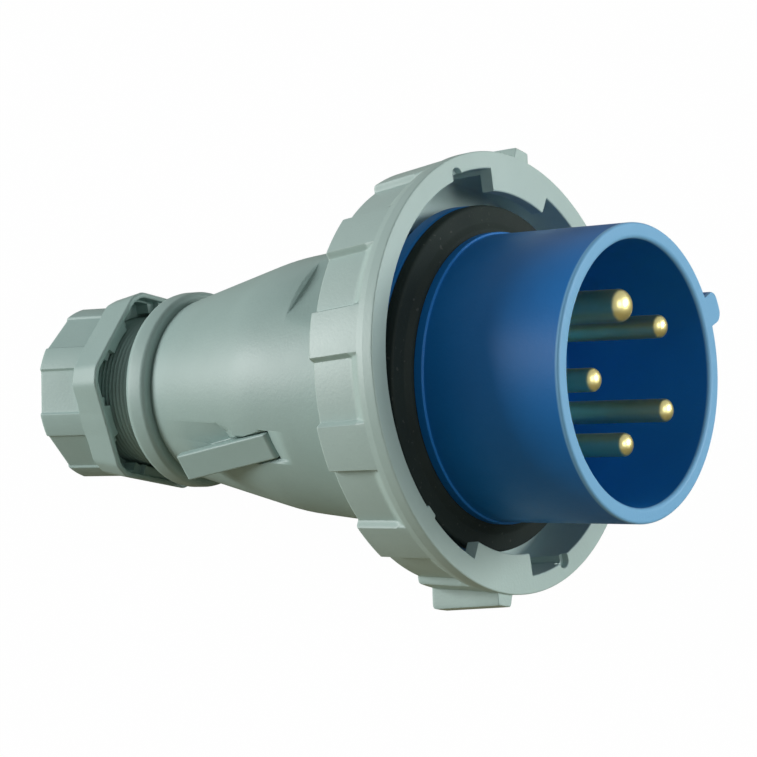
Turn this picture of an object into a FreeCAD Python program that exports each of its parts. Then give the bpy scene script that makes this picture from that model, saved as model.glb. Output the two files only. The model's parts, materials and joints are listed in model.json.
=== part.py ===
import FreeCAD, Part
import os
from math import sin, cos, tan, atan2, acos, radians, degrees

# Industrial pin and sleeve plug: three phases, neutral and earth, with a bayonet locking ring.
# Every piece is modelled about the plug's own axis, which is X. The rim of the sleeve is at x = 0,
# the mating end faces +X and everything else lies at negative x. Angles go round that axis, from +Y
# towards +Z. The last function lays the plug on its side, resting on the ring and on the gland nut.

# Sleeve and insert
sleeve_r = 31.5
sleeve_foot_r = 31.0
sleeve_wall = 3.4
sleeve_depth = 37.0
base_wall = 6.0
foot_collar_r = 32.8
foot_collar_length = 2.0
gasket_thickness = 3.0
gasket_overhang = 0.05
flange_r = 37.5
flange_thickness = 3.5
neck_r = 33.6
skirt_r = 28.0
skirt_wall = 2.4
skirt_length = 8.4
seal_groove_offset = 2.0
seal_groove_width = 2.2
seal_groove_depth = 1.2
key_angle = 21.8
key_width = 7.0
key_height = 4.3

# Contact pins
pin_circle_r = 15.2
pin_r = 2.5
earth_pin_r = 3.5
pin_recess = 1.0
earth_pin_recess = -1.0
pin_crown = 0.4
pin_edge_share = 0.5
pin_root_extra = 0.4
pin_collar_extra = 1.7
pin_collar_thickness = 2.0
pin_seal_thickness = 2.0
pin_barrel_length = 26.0
wire_hole_r = 1.9
earth_wire_hole_r = 2.5
wire_hole_depth = 12.0
pin_count = 5
earth_angle = 109.6

# Contact holder and screws
holder_gap = 0.3
holder_plate = 4.0
holder_length = 27.0
chamber_wall = 1.7
hub_r = 4.5
rib_thickness = 1.8
terminal_screw_r = 1.75
terminal_screw_setback = 5.0
screw_head_extra = 0.85
screw_head_height = 1.6
slot_width = 0.8
slot_depth = 0.7
holder_screw_r = 1.4
holder_screw_circle_r = 20.0
holder_screw_bite = 3.5
fixed_gap = 0.05

# Locking ring
ring_front_ahead = 3.8
ring_length = 18.4
ring_clearance = 5.6
ring_wall = 4.8
ring_band = 4.1
pad_step = 0.5
pad_fall = 1.4
valley_depth = 1.5
pad_count = 12
pad_span = 13.0
pad_angle = 15.0
ring_lip_thickness = 2.5
ring_lip_play = 2.6
ring_lip_running_gap = 0.8
rear_bore_step = 1.6
lug_angle = 75.0
lug_height = 3.1
lug_width = 4.8
lug_draft = 0.6
lug_bevel_length = 3.2
lug_bevel_fall = 2.2
lug_bevel_span = 20.0
tab_height = 3.9
tab_span = 27.5
tab_thickness = 3.0
recess_step = 1.0
recess_depth = 10.0
notch_r = 1.8
notch_offset = 30.5
notch_depth = 1.6
bump_angle = 219.0
bump_span = 4.0
bump_height = 0.7
turn_stop_angle = 200.0
turn_stop_span = 3.0
turn_stop_slack = 2.5
turn_stop_height = 1.4
ring_turn = 60.0
ring_tilt = 3.77
ring_tilt_angle = 101.2
ring_shift = 0.44
ring_shift_angle = 66.0
first_rest_pad = 9

# Rear housing
housing_collar_r = 36.0
housing_collar_length = 1.6
housing_wall = 2.6
front_taper_r = 32.8
front_taper = 0.106
rear_taper = 0.25
bead_x = -122.4
bead_r = 22.9
bead_width = 4.6
bead_root_r = 21.3
taper_blend_r = 60.0
cable_neck_r = 19.0
cable_neck_length = 9.0
thread_r = 17.6
thread_length = 10.0
neck_bore_r = 14.2
neck_bore_length = 14.5
cage_seat_r = 15.3
cage_seat_depth = 5.6
grip_flat_angle = 131.0
grip_flat_distance = 29.7
grip_flat_rear = -72.8
finger_recess_angle = -129.7
finger_recess_distance = 22.3
finger_recess_front = -92.4
finger_recess_half_width = 15.2
finger_recess_inner_edge = 4.5
recess_boss_length = 28.0
recess_boss_width = 20.0
recess_boss_wall = 1.8

# Latch lever
lever_front_x = -78.1
lever_angle = -156.8
lever_front_r = 30.0
lever_length = 30.5
lever_width = 6.2
lever_thickness = 2.6
lever_lean = 3.6
lever_skew = 11.8
lever_gap = 0.35
lever_front_gap = 0.7
lever_pivot_back = 4.0
lever_pivot_depth = 3.0
lever_knuckle_r = 2.2
lever_pin_r = 1.0
lever_pin_grip = 1.4
lever_pocket_length = 7.2

# Gland
nut_front_x = -131.7
hex_length = 8.8
hex_flat_r = 21.9
hex_corner_r = 24.2
hex_rear_flat_r = 20.5
hex_rear_corner_r = 22.4
hex_wall = 1.3
hex_angle = 167.4
skirt_depth = 5.8
tooth_r = 19.6
tooth_setback = 1.8
tooth_step = 1.5
tooth_span = 22.0
tooth_step_span = 34.0
nut_length = 21.8
ridge_r = 20.6
ridge_span = 16.0
ridge_count = 8
groove_flat_r = 19.5
ridge_angle = 153.0
nut_end_wall = 3.5
nut_end_round = 1.2
nut_mouth_r = 12.6
thread_gap = 0.06
thrust_ring_r = 17.3
thrust_ring_length = 3.0
thrust_cone_front_r = 15.3
thrust_cone_rear_r = 12.8
thrust_seat_gap = 0.3
cage_flange_r = 16.6
cage_flange_thickness = 1.2
cage_bore_r = 10.6
finger_length = 4.8
finger_root_r = 14.8
finger_tip_r = 12.0
finger_count = 12
finger_slot = 1.4
seal_r = 10.5
seal_bore_r = 7.0
seal_front_extra = 2.0

# Places along the axis that follow from the sizes above
base_x = -sleeve_depth
flange_x = base_x - gasket_thickness
insert_rear_x = base_x - base_wall
flange_rear_x = flange_x - flange_thickness
lip_front_x = flange_rear_x - ring_lip_play
lip_rear_x = lip_front_x - ring_lip_thickness
housing_x = lip_rear_x - ring_lip_play
taper_start_x = housing_x - housing_collar_length
skirt_end_x = housing_x - skirt_length
ring_x = base_x + ring_front_ahead
ring_end_x = ring_x - ring_length
holder_end_x = insert_rear_x - holder_length
barrel_end_x = insert_rear_x - pin_barrel_length
neck_shoulder_x = bead_x - cable_neck_length
neck_end_x = neck_shoulder_x - thread_length
nut_end_x = nut_front_x - nut_length
nut_floor_x = nut_end_x + nut_end_wall
cage_seat_x = neck_end_x + cage_seat_depth
ring_bore_r = flange_r + ring_clearance
ring_r = ring_bore_r + ring_wall
pad_front_r = ring_r - pad_step
pad_rear_r = pad_front_r - pad_fall
ring_rear_bore_r = ring_bore_r - rear_bore_step
lug_tip_r = ring_r + lug_height
tab_r = ring_bore_r - tab_height
recess_r = ring_bore_r + recess_step
lip_r = neck_r + ring_lip_running_gap
skirt_bore_r = skirt_r - skirt_wall
housing_bore_r = skirt_r + 2 * fixed_gap
gasket_r = flange_r + gasket_overhang
pin_angles = [earth_angle + 360.0 / pin_count * i for i in range(pin_count)]
between_pins = 180.0 / pin_count

ORIGIN = FreeCAD.Vector(0, 0, 0)
X_AXIS = FreeCAD.Vector(1, 0, 0)
Y_AXIS = FreeCAD.Vector(0, 1, 0)
Z_AXIS = FreeCAD.Vector(0, 0, 1)
FAR = 200.0


def rounded_wire(corners, place):
    """Closed wire through (u, v) corners, where (u, v, radius) is a rounded one; place gives a 3-D point."""
    count = len(corners)
    legs = []
    for i in range(count):
        u, v = corners[i][:2]
        radius = corners[i][2] if len(corners[i]) == 3 else 0.0
        if radius == 0.0:
            legs.append([(u, v)])
            continue
        before = corners[i - 1]
        after = corners[(i + 1) % count]
        a = FreeCAD.Vector(before[0] - u, before[1] - v, 0).normalize()
        b = FreeCAD.Vector(after[0] - u, after[1] - v, 0).normalize()
        half = acos(max(-1.0, min(1.0, a.dot(b)))) / 2
        run = radius / tan(half)
        middle = (a + b).normalize()
        corner = FreeCAD.Vector(u, v, 0)
        centre = corner + middle * (radius / sin(half))
        start = corner + a * run
        bend = centre - middle * radius
        stop = corner + b * run
        legs.append([(start.x, start.y), (bend.x, bend.y), (stop.x, stop.y)])
    edges = []
    for i in range(count):
        leg = legs[i]
        following = legs[(i + 1) % count]
        if len(leg) == 3:
            edges.append(Part.Arc(place(*leg[0]), place(*leg[1]), place(*leg[2])).toShape())
        start = place(*leg[-1])
        stop = place(*following[0])
        if start.distanceToPoint(stop) > 1e-6:
            edges.append(Part.makeLine(start, stop))
    return Part.Wire(edges)


def in_profile_plane(x, r):
    return FreeCAD.Vector(x, r, 0)


def turned(outline, start=0.0, sweep=360.0):
    """The outline of (x, r) corners turned about the plug's axis."""
    face = Part.Face(rounded_wire(outline, in_profile_plane))
    solid = face.revolve(ORIGIN, X_AXIS, sweep)
    solid.rotate(ORIGIN, X_AXIS, start)
    return solid


def sector(x0, x1, r0, r1, middle, span):
    """Part of a tube between two places, two radii and two angles."""
    outline = [(x0, r0), (x0, r1), (x1, r1), (x1, r0)]
    return turned(outline, middle - span / 2, span)


def prism(corners, x0, x1, angle=0.0):
    """Corners of (across, outwards) carried from x0 to x1; outwards points along the angle."""
    wire = rounded_wire(corners, lambda across, out: FreeCAD.Vector(x0, out, across))
    solid = Part.Face(wire).extrude(FreeCAD.Vector(x1 - x0, 0, 0))
    solid.rotate(ORIGIN, X_AXIS, angle)
    return solid


def rod(x0, x1, radius, circle_r=0.0, angle=0.0):
    """Round bar along the axis, on a circle about it."""
    low = min(x0, x1)
    base = FreeCAD.Vector(low, circle_r * cos(radians(angle)), circle_r * sin(radians(angle)))
    return Part.makeCylinder(radius, abs(x1 - x0), base, X_AXIS)


def outwards(angle):
    return FreeCAD.Vector(0, cos(radians(angle)), sin(radians(angle)))


def around(angle):
    """Direction of growing angle, square to the one that points outwards."""
    return FreeCAD.Vector(0, -sin(radians(angle)), cos(radians(angle)))


def placed(solid, place):
    moved = solid.copy()
    moved.Placement = place.multiply(moved.Placement)
    return moved


def spoke(x, radius, inner, outer, angle):
    """Round bar that points straight out from the axis, between two distances from it."""
    out = outwards(angle)
    return Part.makeCylinder(radius, outer - inner, FreeCAD.Vector(x, 0, 0) + out * inner, out)


def block(corner_low, corner_high):
    size = corner_high - corner_low
    return Part.makeBox(size.x, size.y, size.z, corner_low)


def polar_copies(solid, count, first=0.0):
    copies = []
    for i in range(count):
        copy = solid.copy()
        copy.rotate(ORIGIN, X_AXIS, first + 360.0 / count * i)
        copies.append(copy)
    return copies


def body_r(x):
    """Outer radius of the rear housing's two tapers at a place along the axis."""
    front = front_taper_r + front_taper * (x - taper_start_x)
    rear = bead_root_r + rear_taper * (x - (bead_x + bead_width))
    return min(front, rear)


def contact_insert():
    bore = sleeve_r - sleeve_wall
    collar_x = base_x + foot_collar_length
    outline = [
        (0, bore, 0.8),
        (0, sleeve_r, 0.5),
        (collar_x, sleeve_foot_r, 0.8),
        (collar_x, foot_collar_r, 0.4),
        (base_x, foot_collar_r),
        (base_x, sleeve_foot_r),
        (flange_x, sleeve_foot_r),
        (flange_x, flange_r, 0.6),
        (flange_rear_x, flange_r, 0.4),
        (flange_rear_x, neck_r),
        (housing_x, neck_r),
        (housing_x, skirt_r),
        (skirt_end_x, skirt_r, 0.6),
        (skirt_end_x, skirt_bore_r),
        (insert_rear_x, skirt_bore_r),
        (insert_rear_x, 0),
        (base_x, 0),
        (base_x, bore - 0.3, 1.0),
    ]
    solid = turned(outline)
    tip = sleeve_r + key_height
    half = key_width / 2
    key = prism([(-half, bore + 1), (-half, tip, half * 0.7), (half, tip, half * 0.7), (half, bore + 1)],
                collar_x, 0, key_angle)
    solid = solid.fuse(key)
    stop = sector(flange_rear_x, housing_x, neck_r - 1, neck_r + turn_stop_height,
                  turn_stop_angle, turn_stop_span)
    solid = solid.fuse(stop)
    cuts = []
    for i, angle in enumerate(pin_angles):
        shaft = earth_pin_r if i == 0 else pin_r
        cuts.append(rod(insert_rear_x, base_x, pin_root_radius(shaft) + fixed_gap, pin_circle_r, angle))
        seat = pin_collar_thickness + pin_seal_thickness
        collar = shaft + pin_collar_extra + fixed_gap
        cuts.append(rod(insert_rear_x, insert_rear_x + seat, collar, pin_circle_r, angle))
    for angle in holder_screw_angles():
        cuts.append(rod(insert_rear_x, insert_rear_x + holder_screw_bite + 0.5, holder_screw_r + fixed_gap,
                        holder_screw_circle_r, angle))
    groove = [(seal_groove_front(), skirt_r + 1), (seal_groove_front(), skirt_r - seal_groove_depth),
              (seal_groove_rear(), skirt_r - seal_groove_depth), (seal_groove_rear(), skirt_r + 1)]
    cuts.append(turned(groove))
    return solid.cut(cuts).removeSplitter()


def seal_groove_front():
    return housing_x - seal_groove_offset


def seal_groove_rear():
    return seal_groove_front() - seal_groove_width


def housing_seal():
    front = seal_groove_front() - 0.1
    rear = seal_groove_rear() + 0.1
    inner = skirt_r - seal_groove_depth
    outer = housing_bore_r
    outline = [(front, inner, 0.3), (front, outer, 0.5), (rear, outer, 0.5), (rear, inner, 0.3)]
    return turned(outline)


def holder_screw_angles():
    return [earth_angle + between_pins + 360.0 / pin_count * i for i in (0, 2, 3)]


def pin_root_radius(shaft):
    return shaft + pin_root_extra


def barrel_radius(shaft):
    return shaft + pin_collar_extra


def contact_pin(index):
    """Brass pin: shaft with a crowned tip, thicker root, collar, and a barrel with its two holes."""
    earth = index == 0
    shaft = earth_pin_r if earth else pin_r
    tip = -(earth_pin_recess if earth else pin_recess)
    hole = earth_wire_hole_r if earth else wire_hole_r
    barrel = barrel_radius(shaft)
    collar_x = insert_rear_x + pin_collar_thickness
    hole_end = barrel_end_x + wire_hole_depth
    outline = [
        (tip, 0),
        (tip - pin_crown, shaft, shaft * pin_edge_share),
        (base_x, shaft),
        (base_x, pin_root_radius(shaft)),
        (collar_x, pin_root_radius(shaft)),
        (collar_x, barrel, 0.2),
        (barrel_end_x, barrel, 0.4),
        (barrel_end_x, hole),
        (hole_end, hole),
        (hole_end + hole * 0.6, 0),
    ]
    solid = turned(outline)
    screw_x = barrel_end_x + terminal_screw_setback
    solid = solid.cut(spoke(screw_x, terminal_screw_r + fixed_gap, 0, FAR, 0))
    solid.translate(FreeCAD.Vector(0, pin_circle_r, 0))
    solid.rotate(ORIGIN, X_AXIS, pin_angles[index])
    return solid


def pin_seal_rings():
    rings = []
    front = insert_rear_x + pin_collar_thickness + pin_seal_thickness
    rear = insert_rear_x + pin_collar_thickness
    for i, angle in enumerate(pin_angles):
        shaft = earth_pin_r if i == 0 else pin_r
        inner = pin_root_radius(shaft)
        outer = barrel_radius(shaft)
        ring = turned([(front, inner), (front, outer, 0.4), (rear, outer, 0.4), (rear, inner)])
        ring.translate(FreeCAD.Vector(0, pin_circle_r, 0))
        ring.rotate(ORIGIN, X_AXIS, angle)
        rings.append(ring)
    return Part.makeCompound(rings)


def contact_holder():
    """Plate with a chamber for each barrel, a hub in the middle and ribs between."""
    plate_r = skirt_bore_r - holder_gap
    rear = insert_rear_x - holder_plate
    solid = turned([(insert_rear_x, 0), (insert_rear_x, plate_r, 0.3), (rear, plate_r, 0.5), (rear, 0)])
    solid = solid.fuse(rod(rear, holder_end_x, hub_r))
    cuts = []
    for i, angle in enumerate(pin_angles):
        shaft = earth_pin_r if i == 0 else pin_r
        barrel = barrel_radius(shaft)
        chamber = barrel + fixed_gap + chamber_wall
        solid = solid.fuse(rod(insert_rear_x, holder_end_x, chamber, pin_circle_r, angle))
        half = rib_thickness / 2
        rib = prism([(-half, hub_r - 1), (-half, pin_circle_r), (half, pin_circle_r), (half, hub_r - 1)],
                    holder_end_x, rear, angle)
        solid = solid.fuse(rib)
        cuts.append(rod(insert_rear_x + 1, holder_end_x - 1, barrel + fixed_gap, pin_circle_r, angle))
        screw_x = barrel_end_x + terminal_screw_setback
        cuts.append(spoke(screw_x, terminal_screw_r + fixed_gap, pin_circle_r, FAR, angle))
    for angle in holder_screw_angles():
        cuts.append(rod(insert_rear_x + 1, rear - 1, holder_screw_r + 2 * fixed_gap,
                        holder_screw_circle_r, angle))
    return solid.cut(cuts).removeSplitter()


def slotted_screw(shank_r, shank_length, head_r, head_height):
    """Screw that points along -X from a head whose underside is at x = 0."""
    outline = [
        (-shank_length, 0),
        (-shank_length, shank_r, 0.25),
        (0, shank_r),
        (0, head_r),
        (head_height, head_r, 0.3),
        (head_height, 0),
    ]
    half = slot_width / 2
    slot = block(FreeCAD.Vector(head_height - slot_depth, -FAR, -half),
                 FreeCAD.Vector(head_height + 1, FAR, half))
    return turned(outline).cut(slot)


def terminal_screw(index):
    """Clamping screw that goes through the chamber wall and the barrel, down to the wire hole."""
    shaft = earth_pin_r if index == 0 else pin_r
    seat = pin_circle_r + barrel_radius(shaft) + fixed_gap + chamber_wall + fixed_gap
    head_r = terminal_screw_r + screw_head_extra
    screw = slotted_screw(terminal_screw_r, seat - pin_circle_r, head_r, screw_head_height)
    screw.rotate(ORIGIN, Z_AXIS, 90)
    screw.translate(FreeCAD.Vector(barrel_end_x + terminal_screw_setback, seat, 0))
    screw.rotate(ORIGIN, X_AXIS, pin_angles[index])
    return screw


def holder_screws():
    screws = []
    seat = insert_rear_x - holder_plate
    for angle in holder_screw_angles():
        shank = holder_plate + holder_screw_bite
        screw = slotted_screw(holder_screw_r, shank, 2 * holder_screw_r, screw_head_height)
        screw.rotate(ORIGIN, Z_AXIS, 180)
        screw.translate(FreeCAD.Vector(seat, holder_screw_circle_r, 0))
        screw.rotate(ORIGIN, X_AXIS, angle)
        screws.append(screw)
    return Part.makeCompound(screws)


def flange_gasket():
    outline = [
        (base_x, sleeve_foot_r),
        (base_x, gasket_r, 0.5),
        (flange_x, gasket_r, 0.3),
        (flange_x, sleeve_foot_r),
    ]
    return turned(outline)


def ring_valley():
    """Cutter for one shallow pocket between two pads, open to the rear, with a rounded front end."""
    front = ring_x - ring_band - 0.6
    rear = ring_end_x - 1
    span = 360.0 / pad_count - pad_span
    floor_front = pad_front_r - valley_depth
    floor_rear = pad_rear_r - valley_depth
    outline = [
        (front + 1.2, ring_r + 3),
        (front, floor_front, 1.6),
        (rear, floor_rear),
        (rear, ring_r + 3),
    ]
    return turned(outline, pad_span / 2, span)


def ring_place():
    """Where the ring sits: its lip has room on the insert's neck, so it lies a little askew."""
    middle = FreeCAD.Vector((lip_front_x + lip_rear_x) / 2, 0, 0)
    turn = FreeCAD.Rotation(around(ring_tilt_angle), ring_tilt)
    return FreeCAD.Placement(outwards(ring_shift_angle) * ring_shift, turn, middle)


def locking_ring():
    band_x = ring_x - ring_band
    outline = [
        (ring_x, ring_bore_r, 0.3),
        (ring_x, ring_r, 1.0),
        (band_x + 0.5, ring_r - 0.1, 0.5),
        (band_x, pad_front_r, 0.4),
        (ring_end_x, pad_rear_r, 0.8),
        (ring_end_x, ring_rear_bore_r),
        (lip_rear_x, ring_rear_bore_r),
        (lip_rear_x, lip_r, 0.4),
        (lip_front_x, lip_r, 0.4),
        (lip_front_x, ring_bore_r - 0.6, 1.0),
    ]
    solid = turned(outline)
    solid = solid.cut(polar_copies(ring_valley(), pad_count, pad_angle))
    tabs = []
    half = lug_width / 2
    cuts = []
    for angle in (lug_angle, lug_angle + 180):
        foot = half + lug_draft
        foot_r = pad_rear_r - 2
        lug = prism([(-foot, foot_r), (-half, lug_tip_r, 0.5), (half, lug_tip_r, 0.5), (foot, foot_r)],
                    ring_end_x, ring_x - 0.4, angle)
        bevel_rear = ring_x - lug_bevel_length
        bevel = turned([(ring_x + 1, lug_tip_r - lug_bevel_fall), (ring_x + 1, FAR), (bevel_rear, FAR),
                        (bevel_rear, lug_tip_r + 0.6)], angle - lug_bevel_span / 2, lug_bevel_span)
        tabs.append(lug.cut(bevel))
        tab_rear = ring_x - tab_thickness
        tab_root_r = ring_bore_r + 1.2
        outline = [
            (ring_x, tab_r, 0.4),
            (ring_x, tab_root_r),
            (tab_rear, tab_root_r),
            (tab_rear, tab_r, 0.4),
        ]
        tabs.append(turned(outline, angle - tab_span / 2, tab_span))
        tab_end = angle + tab_span / 2
        notch_angle = angle + notch_offset
        recess = sector(ring_x + 1, ring_x - recess_depth, ring_bore_r - 2, recess_r,
                        (tab_end + notch_angle) / 2, notch_angle - tab_end)
        cuts.append(recess)
        cuts.append(rod(ring_x + 1, ring_x - notch_depth, notch_r, recess_r - 0.3, notch_angle))
        cuts.append(rod(ring_x + 1, ring_x - recess_depth, notch_r / 2, recess_r - 0.4, notch_angle))
    bump = sector(ring_x - 0.1, ring_x - tab_thickness, ring_bore_r - bump_height, ring_bore_r + 1,
                  bump_angle, bump_span)
    tabs.append(bump)
    solid = solid.cut(cuts)
    solid = solid.fuse(tabs)
    stop_half = turn_stop_span / 2 + turn_stop_slack
    first = turn_stop_angle - ring_turn - stop_half
    last = turn_stop_angle + stop_half
    track = sector(lip_front_x + 0.1, lip_rear_x - 0.1, lip_r - 1, lip_r + turn_stop_height,
                   (first + last) / 2, last - first)
    return placed(solid.cut(track).removeSplitter(), ring_place())


def lever_place():
    """Placement of the lever's own frame: X to the free end, Y across, Z outwards, at its front edge."""
    out = outwards(lever_angle)
    place = FreeCAD.Placement(FreeCAD.Vector(lever_front_x, 0, 0) + out * lever_front_r,
                              FreeCAD.Rotation(X_AXIS.negative(), around(lever_angle), out, "XZY"))
    lean = FreeCAD.Placement(ORIGIN, FreeCAD.Rotation(Y_AXIS, lever_lean))
    skew = FreeCAD.Placement(ORIGIN, FreeCAD.Rotation(Z_AXIS, lever_skew))
    return place.multiply(lean).multiply(skew)


def lever_pivot():
    return FreeCAD.Vector(lever_pivot_back, 0, -lever_pivot_depth)


def latch_lever():
    half = lever_width / 2
    side = [
        (0, 0, 1.2),
        (lever_length, 0, 1.4),
        (lever_length, -lever_thickness, 0.4),
        (lever_pivot_back + lever_knuckle_r + 0.6, -lever_thickness),
        (lever_pivot_back + lever_knuckle_r, -lever_pivot_depth - lever_knuckle_r, 1.6),
        (lever_pivot_back - lever_knuckle_r, -lever_pivot_depth - lever_knuckle_r, 1.6),
        (lever_pivot_back - lever_knuckle_r - 0.6, -lever_thickness),
        (0, -lever_thickness, 0.4),
    ]
    wire = rounded_wire(side, lambda u, v: FreeCAD.Vector(u, -half, v))
    solid = Part.Face(wire).extrude(FreeCAD.Vector(0, lever_width, 0))
    pivot = lever_pivot()
    hole = Part.makeCylinder(lever_pin_r + fixed_gap, FAR, FreeCAD.Vector(pivot.x, -FAR / 2, pivot.z), Y_AXIS)
    return placed(solid.cut(hole), lever_place())


def lever_pin_half():
    return lever_width / 2 + lever_gap + lever_pin_grip


def lever_pin():
    pivot = lever_pivot()
    half = lever_pin_half()
    start = FreeCAD.Vector(pivot.x, -half, pivot.z)
    return placed(Part.makeCylinder(lever_pin_r, 2 * half, start, Y_AXIS), lever_place())


def lever_pocket():
    """Room for the lever: deep round its pivot, shallow behind it, and the pin's hole."""
    half = lever_width / 2 + lever_gap
    deep = lever_pivot_depth + lever_knuckle_r + lever_gap
    back = lever_pivot_back + lever_knuckle_r + 1.0
    front = block(FreeCAD.Vector(-lever_front_gap, -half, -deep), FreeCAD.Vector(back, half, FAR / 10))
    rear = block(FreeCAD.Vector(back - 0.1, -half, -lever_thickness - lever_gap),
                 FreeCAD.Vector(lever_length + 1, half, FAR / 10))
    pivot = lever_pivot()
    pin_half = lever_pin_half()
    start = FreeCAD.Vector(pivot.x, -pin_half, pivot.z)
    hole = Part.makeCylinder(lever_pin_r + 0.02, 2 * pin_half, start, Y_AXIS)
    return [placed(cut, lever_place()) for cut in (front, rear, hole)]


def housing_outline(inset):
    """Outer or, with an inset, inner corners of the two tapers, from the collar back to the bead."""
    joint_x = taper_joint_x()
    return [
        (taper_start_x, body_r(taper_start_x) - inset),
        (joint_x, body_r(joint_x) - inset, taper_blend_r),
        (bead_x + bead_width, bead_root_r - inset),
    ]


def taper_joint_x():
    """Where the front and rear tapers meet."""
    rear_x = bead_x + bead_width
    rise = front_taper_r - front_taper * taper_start_x - bead_root_r + rear_taper * rear_x
    return rise / (rear_taper - front_taper)


def rear_housing():
    outer = housing_outline(0.0)
    inner = housing_outline(housing_wall)
    neck_bore_x = cage_seat_x + neck_bore_length
    bore_end_x = start_of_inner_taper()
    outline = [
        (housing_x, housing_collar_r, 0.5),
        (outer[0][0], housing_collar_r, 0.5),
        (outer[0][0], outer[0][1], 0.8),
        outer[1],
        outer[2],
        (bead_x + bead_width - 0.4, bead_r, 1.7),
        (bead_x, bead_r, 2.2),
        (bead_x, cable_neck_r, 0.6),
        (neck_shoulder_x, cable_neck_r, 0.3),
        (neck_shoulder_x - 0.6, thread_r),
        (neck_end_x, thread_r, 0.5),
        (neck_end_x, cage_seat_r),
        (cage_seat_x, cage_seat_r),
        (cage_seat_x, neck_bore_r, 0.4),
        (neck_bore_x, neck_bore_r, 2.0),
        (inner[2][0] + 2.0, inner[2][1] + 2.0 * rear_taper, 2.0),
        inner[1],
        (bore_end_x, housing_bore_r),
        (housing_x, housing_bore_r),
    ]
    shell = turned(outline)
    hollow = turned([
        (neck_bore_x, 0),
        (neck_bore_x, neck_bore_r),
        (inner[2][0] + 2.0, inner[2][1] + 2.0 * rear_taper),
        inner[1][:2],
        (bore_end_x, housing_bore_r),
        (bore_end_x, 0),
    ])
    solid = shell.fuse(lever_boss().common(hollow))
    cuts = [grip_flat(), finger_recess()] + lever_pocket()
    return solid.cut(cuts).removeSplitter()


def start_of_inner_taper():
    """Where the front taper's inner face reaches the straight bore that takes the insert."""
    return taper_start_x + (housing_bore_r + housing_wall - front_taper_r) / front_taper


def lever_boss():
    """Extra wall inside the body, round the lever's pocket and the finger recess."""
    half = lever_width / 2 + lever_gap + lever_pin_grip + 1.4
    depth = lever_pivot_depth + lever_knuckle_r + lever_gap + 1.8
    front = -lever_front_gap - recess_boss_wall
    rear = lever_pocket_length + lever_thickness + 3.0
    pivot_boss = block(FreeCAD.Vector(front, -half, -depth), FreeCAD.Vector(rear, half, 0))
    pivot_boss = placed(pivot_boss, lever_place())
    low = finger_recess_distance - recess_boss_wall
    corner = FreeCAD.Vector(finger_recess_front + 1.0 - recess_boss_length, low,
                            -finger_recess_half_width - recess_boss_wall)
    recess_boss = Part.makeBox(recess_boss_length, FAR, recess_boss_width, corner)
    recess_boss.rotate(ORIGIN, X_AXIS, finger_recess_angle)
    return pivot_boss.fuse(recess_boss)


def grip_flat():
    """Shallow flat near the ring, with a square end at its rear."""
    half = FAR / 10
    front = taper_start_x - 1.5
    return prism([(-half, grip_flat_distance), (-half, FAR), (half, FAR), (half, grip_flat_distance)],
                 grip_flat_rear, front, grip_flat_angle)


def finger_recess():
    """Flat cut beside and under the lever, deep at its front, so that a blade can lift the lever."""
    wide = finger_recess_half_width
    near = -finger_recess_inner_edge
    corners = [(-wide, finger_recess_distance), (-wide, FAR), (near, FAR), (near, finger_recess_distance)]
    return prism(corners, bead_x + bead_width + 1.0, finger_recess_front, finger_recess_angle)


def blunt_hexagon(x, flat_r, corner_r):
    """Hexagon with its corners cut off square, as a wire across the axis."""
    half_flat = (flat_r / cos(radians(30)) - corner_r) * tan(radians(60))
    points = []
    for i in range(6):
        for side in (-1, 1):
            angle = hex_angle + 60 * i
            aside = around(angle) * half_flat * side
            points.append(FreeCAD.Vector(x, 0, 0) + outwards(angle) * corner_r + aside)
    return Part.makePolygon(points + [points[0]])


def gland_nut():
    hex_rear_x = nut_front_x - hex_length
    thread_bore = thread_r + thread_gap
    hexagon = Part.makeLoft([blunt_hexagon(nut_front_x, hex_flat_r, hex_corner_r),
                             blunt_hexagon(hex_rear_x, hex_rear_flat_r, hex_rear_corner_r)], True, True)
    grip_front = nut_front_x - 1
    grip = turned([
        (grip_front, 0),
        (grip_front, ridge_r),
        (nut_end_x, ridge_r, nut_end_round),
        (nut_end_x, 0),
    ])
    pitch = 360.0 / ridge_count
    top_half = ridge_r * tan(radians(pitch - ridge_span) / 2) + 0.5
    top_r = ridge_r + 2
    flat_half = groove_flat_r * tan(radians(pitch - ridge_span) / 2)
    groove = prism([(-flat_half, groove_flat_r, 0.6), (-top_half, top_r), (top_half, top_r),
                    (flat_half, groove_flat_r, 0.6)], nut_end_x - 1, hex_rear_x)
    grip = grip.cut(polar_copies(groove, ridge_count, ridge_angle + pitch / 2))
    solid = hexagon.fuse(grip)
    skirt_floor = nut_front_x - skirt_depth
    floor_wall = hex_wall + 0.9
    hollow = Part.makeLoft([blunt_hexagon(nut_front_x + 1, hex_flat_r - hex_wall, hex_corner_r - hex_wall),
                            blunt_hexagon(skirt_floor, hex_flat_r - floor_wall, hex_corner_r - floor_wall)],
                           True, True)
    teeth = []
    tooth_x = nut_front_x - tooth_setback
    outer = hex_corner_r - 1
    for i in range(6):
        middle = hex_angle + 30 + 60 * i
        teeth.append(sector(tooth_x, skirt_floor, tooth_r, outer, middle, tooth_span))
        teeth.append(sector(tooth_x - tooth_step, skirt_floor, tooth_r, outer, middle, tooth_step_span))
    kept = teeth[0].fuse(teeth[1:]).common(hexagon)
    solid = solid.cut(hollow).fuse(kept)
    bore = turned([
        (skirt_floor + 1, 0),
        (skirt_floor + 1, thread_bore),
        (nut_floor_x, thread_bore),
        (nut_floor_x, nut_mouth_r),
        (nut_end_x + 0.6, nut_mouth_r),
        (nut_end_x - 1, nut_mouth_r + 1.6),
        (nut_end_x - 1, 0),
    ])
    return solid.cut(bore).removeSplitter()


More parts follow.
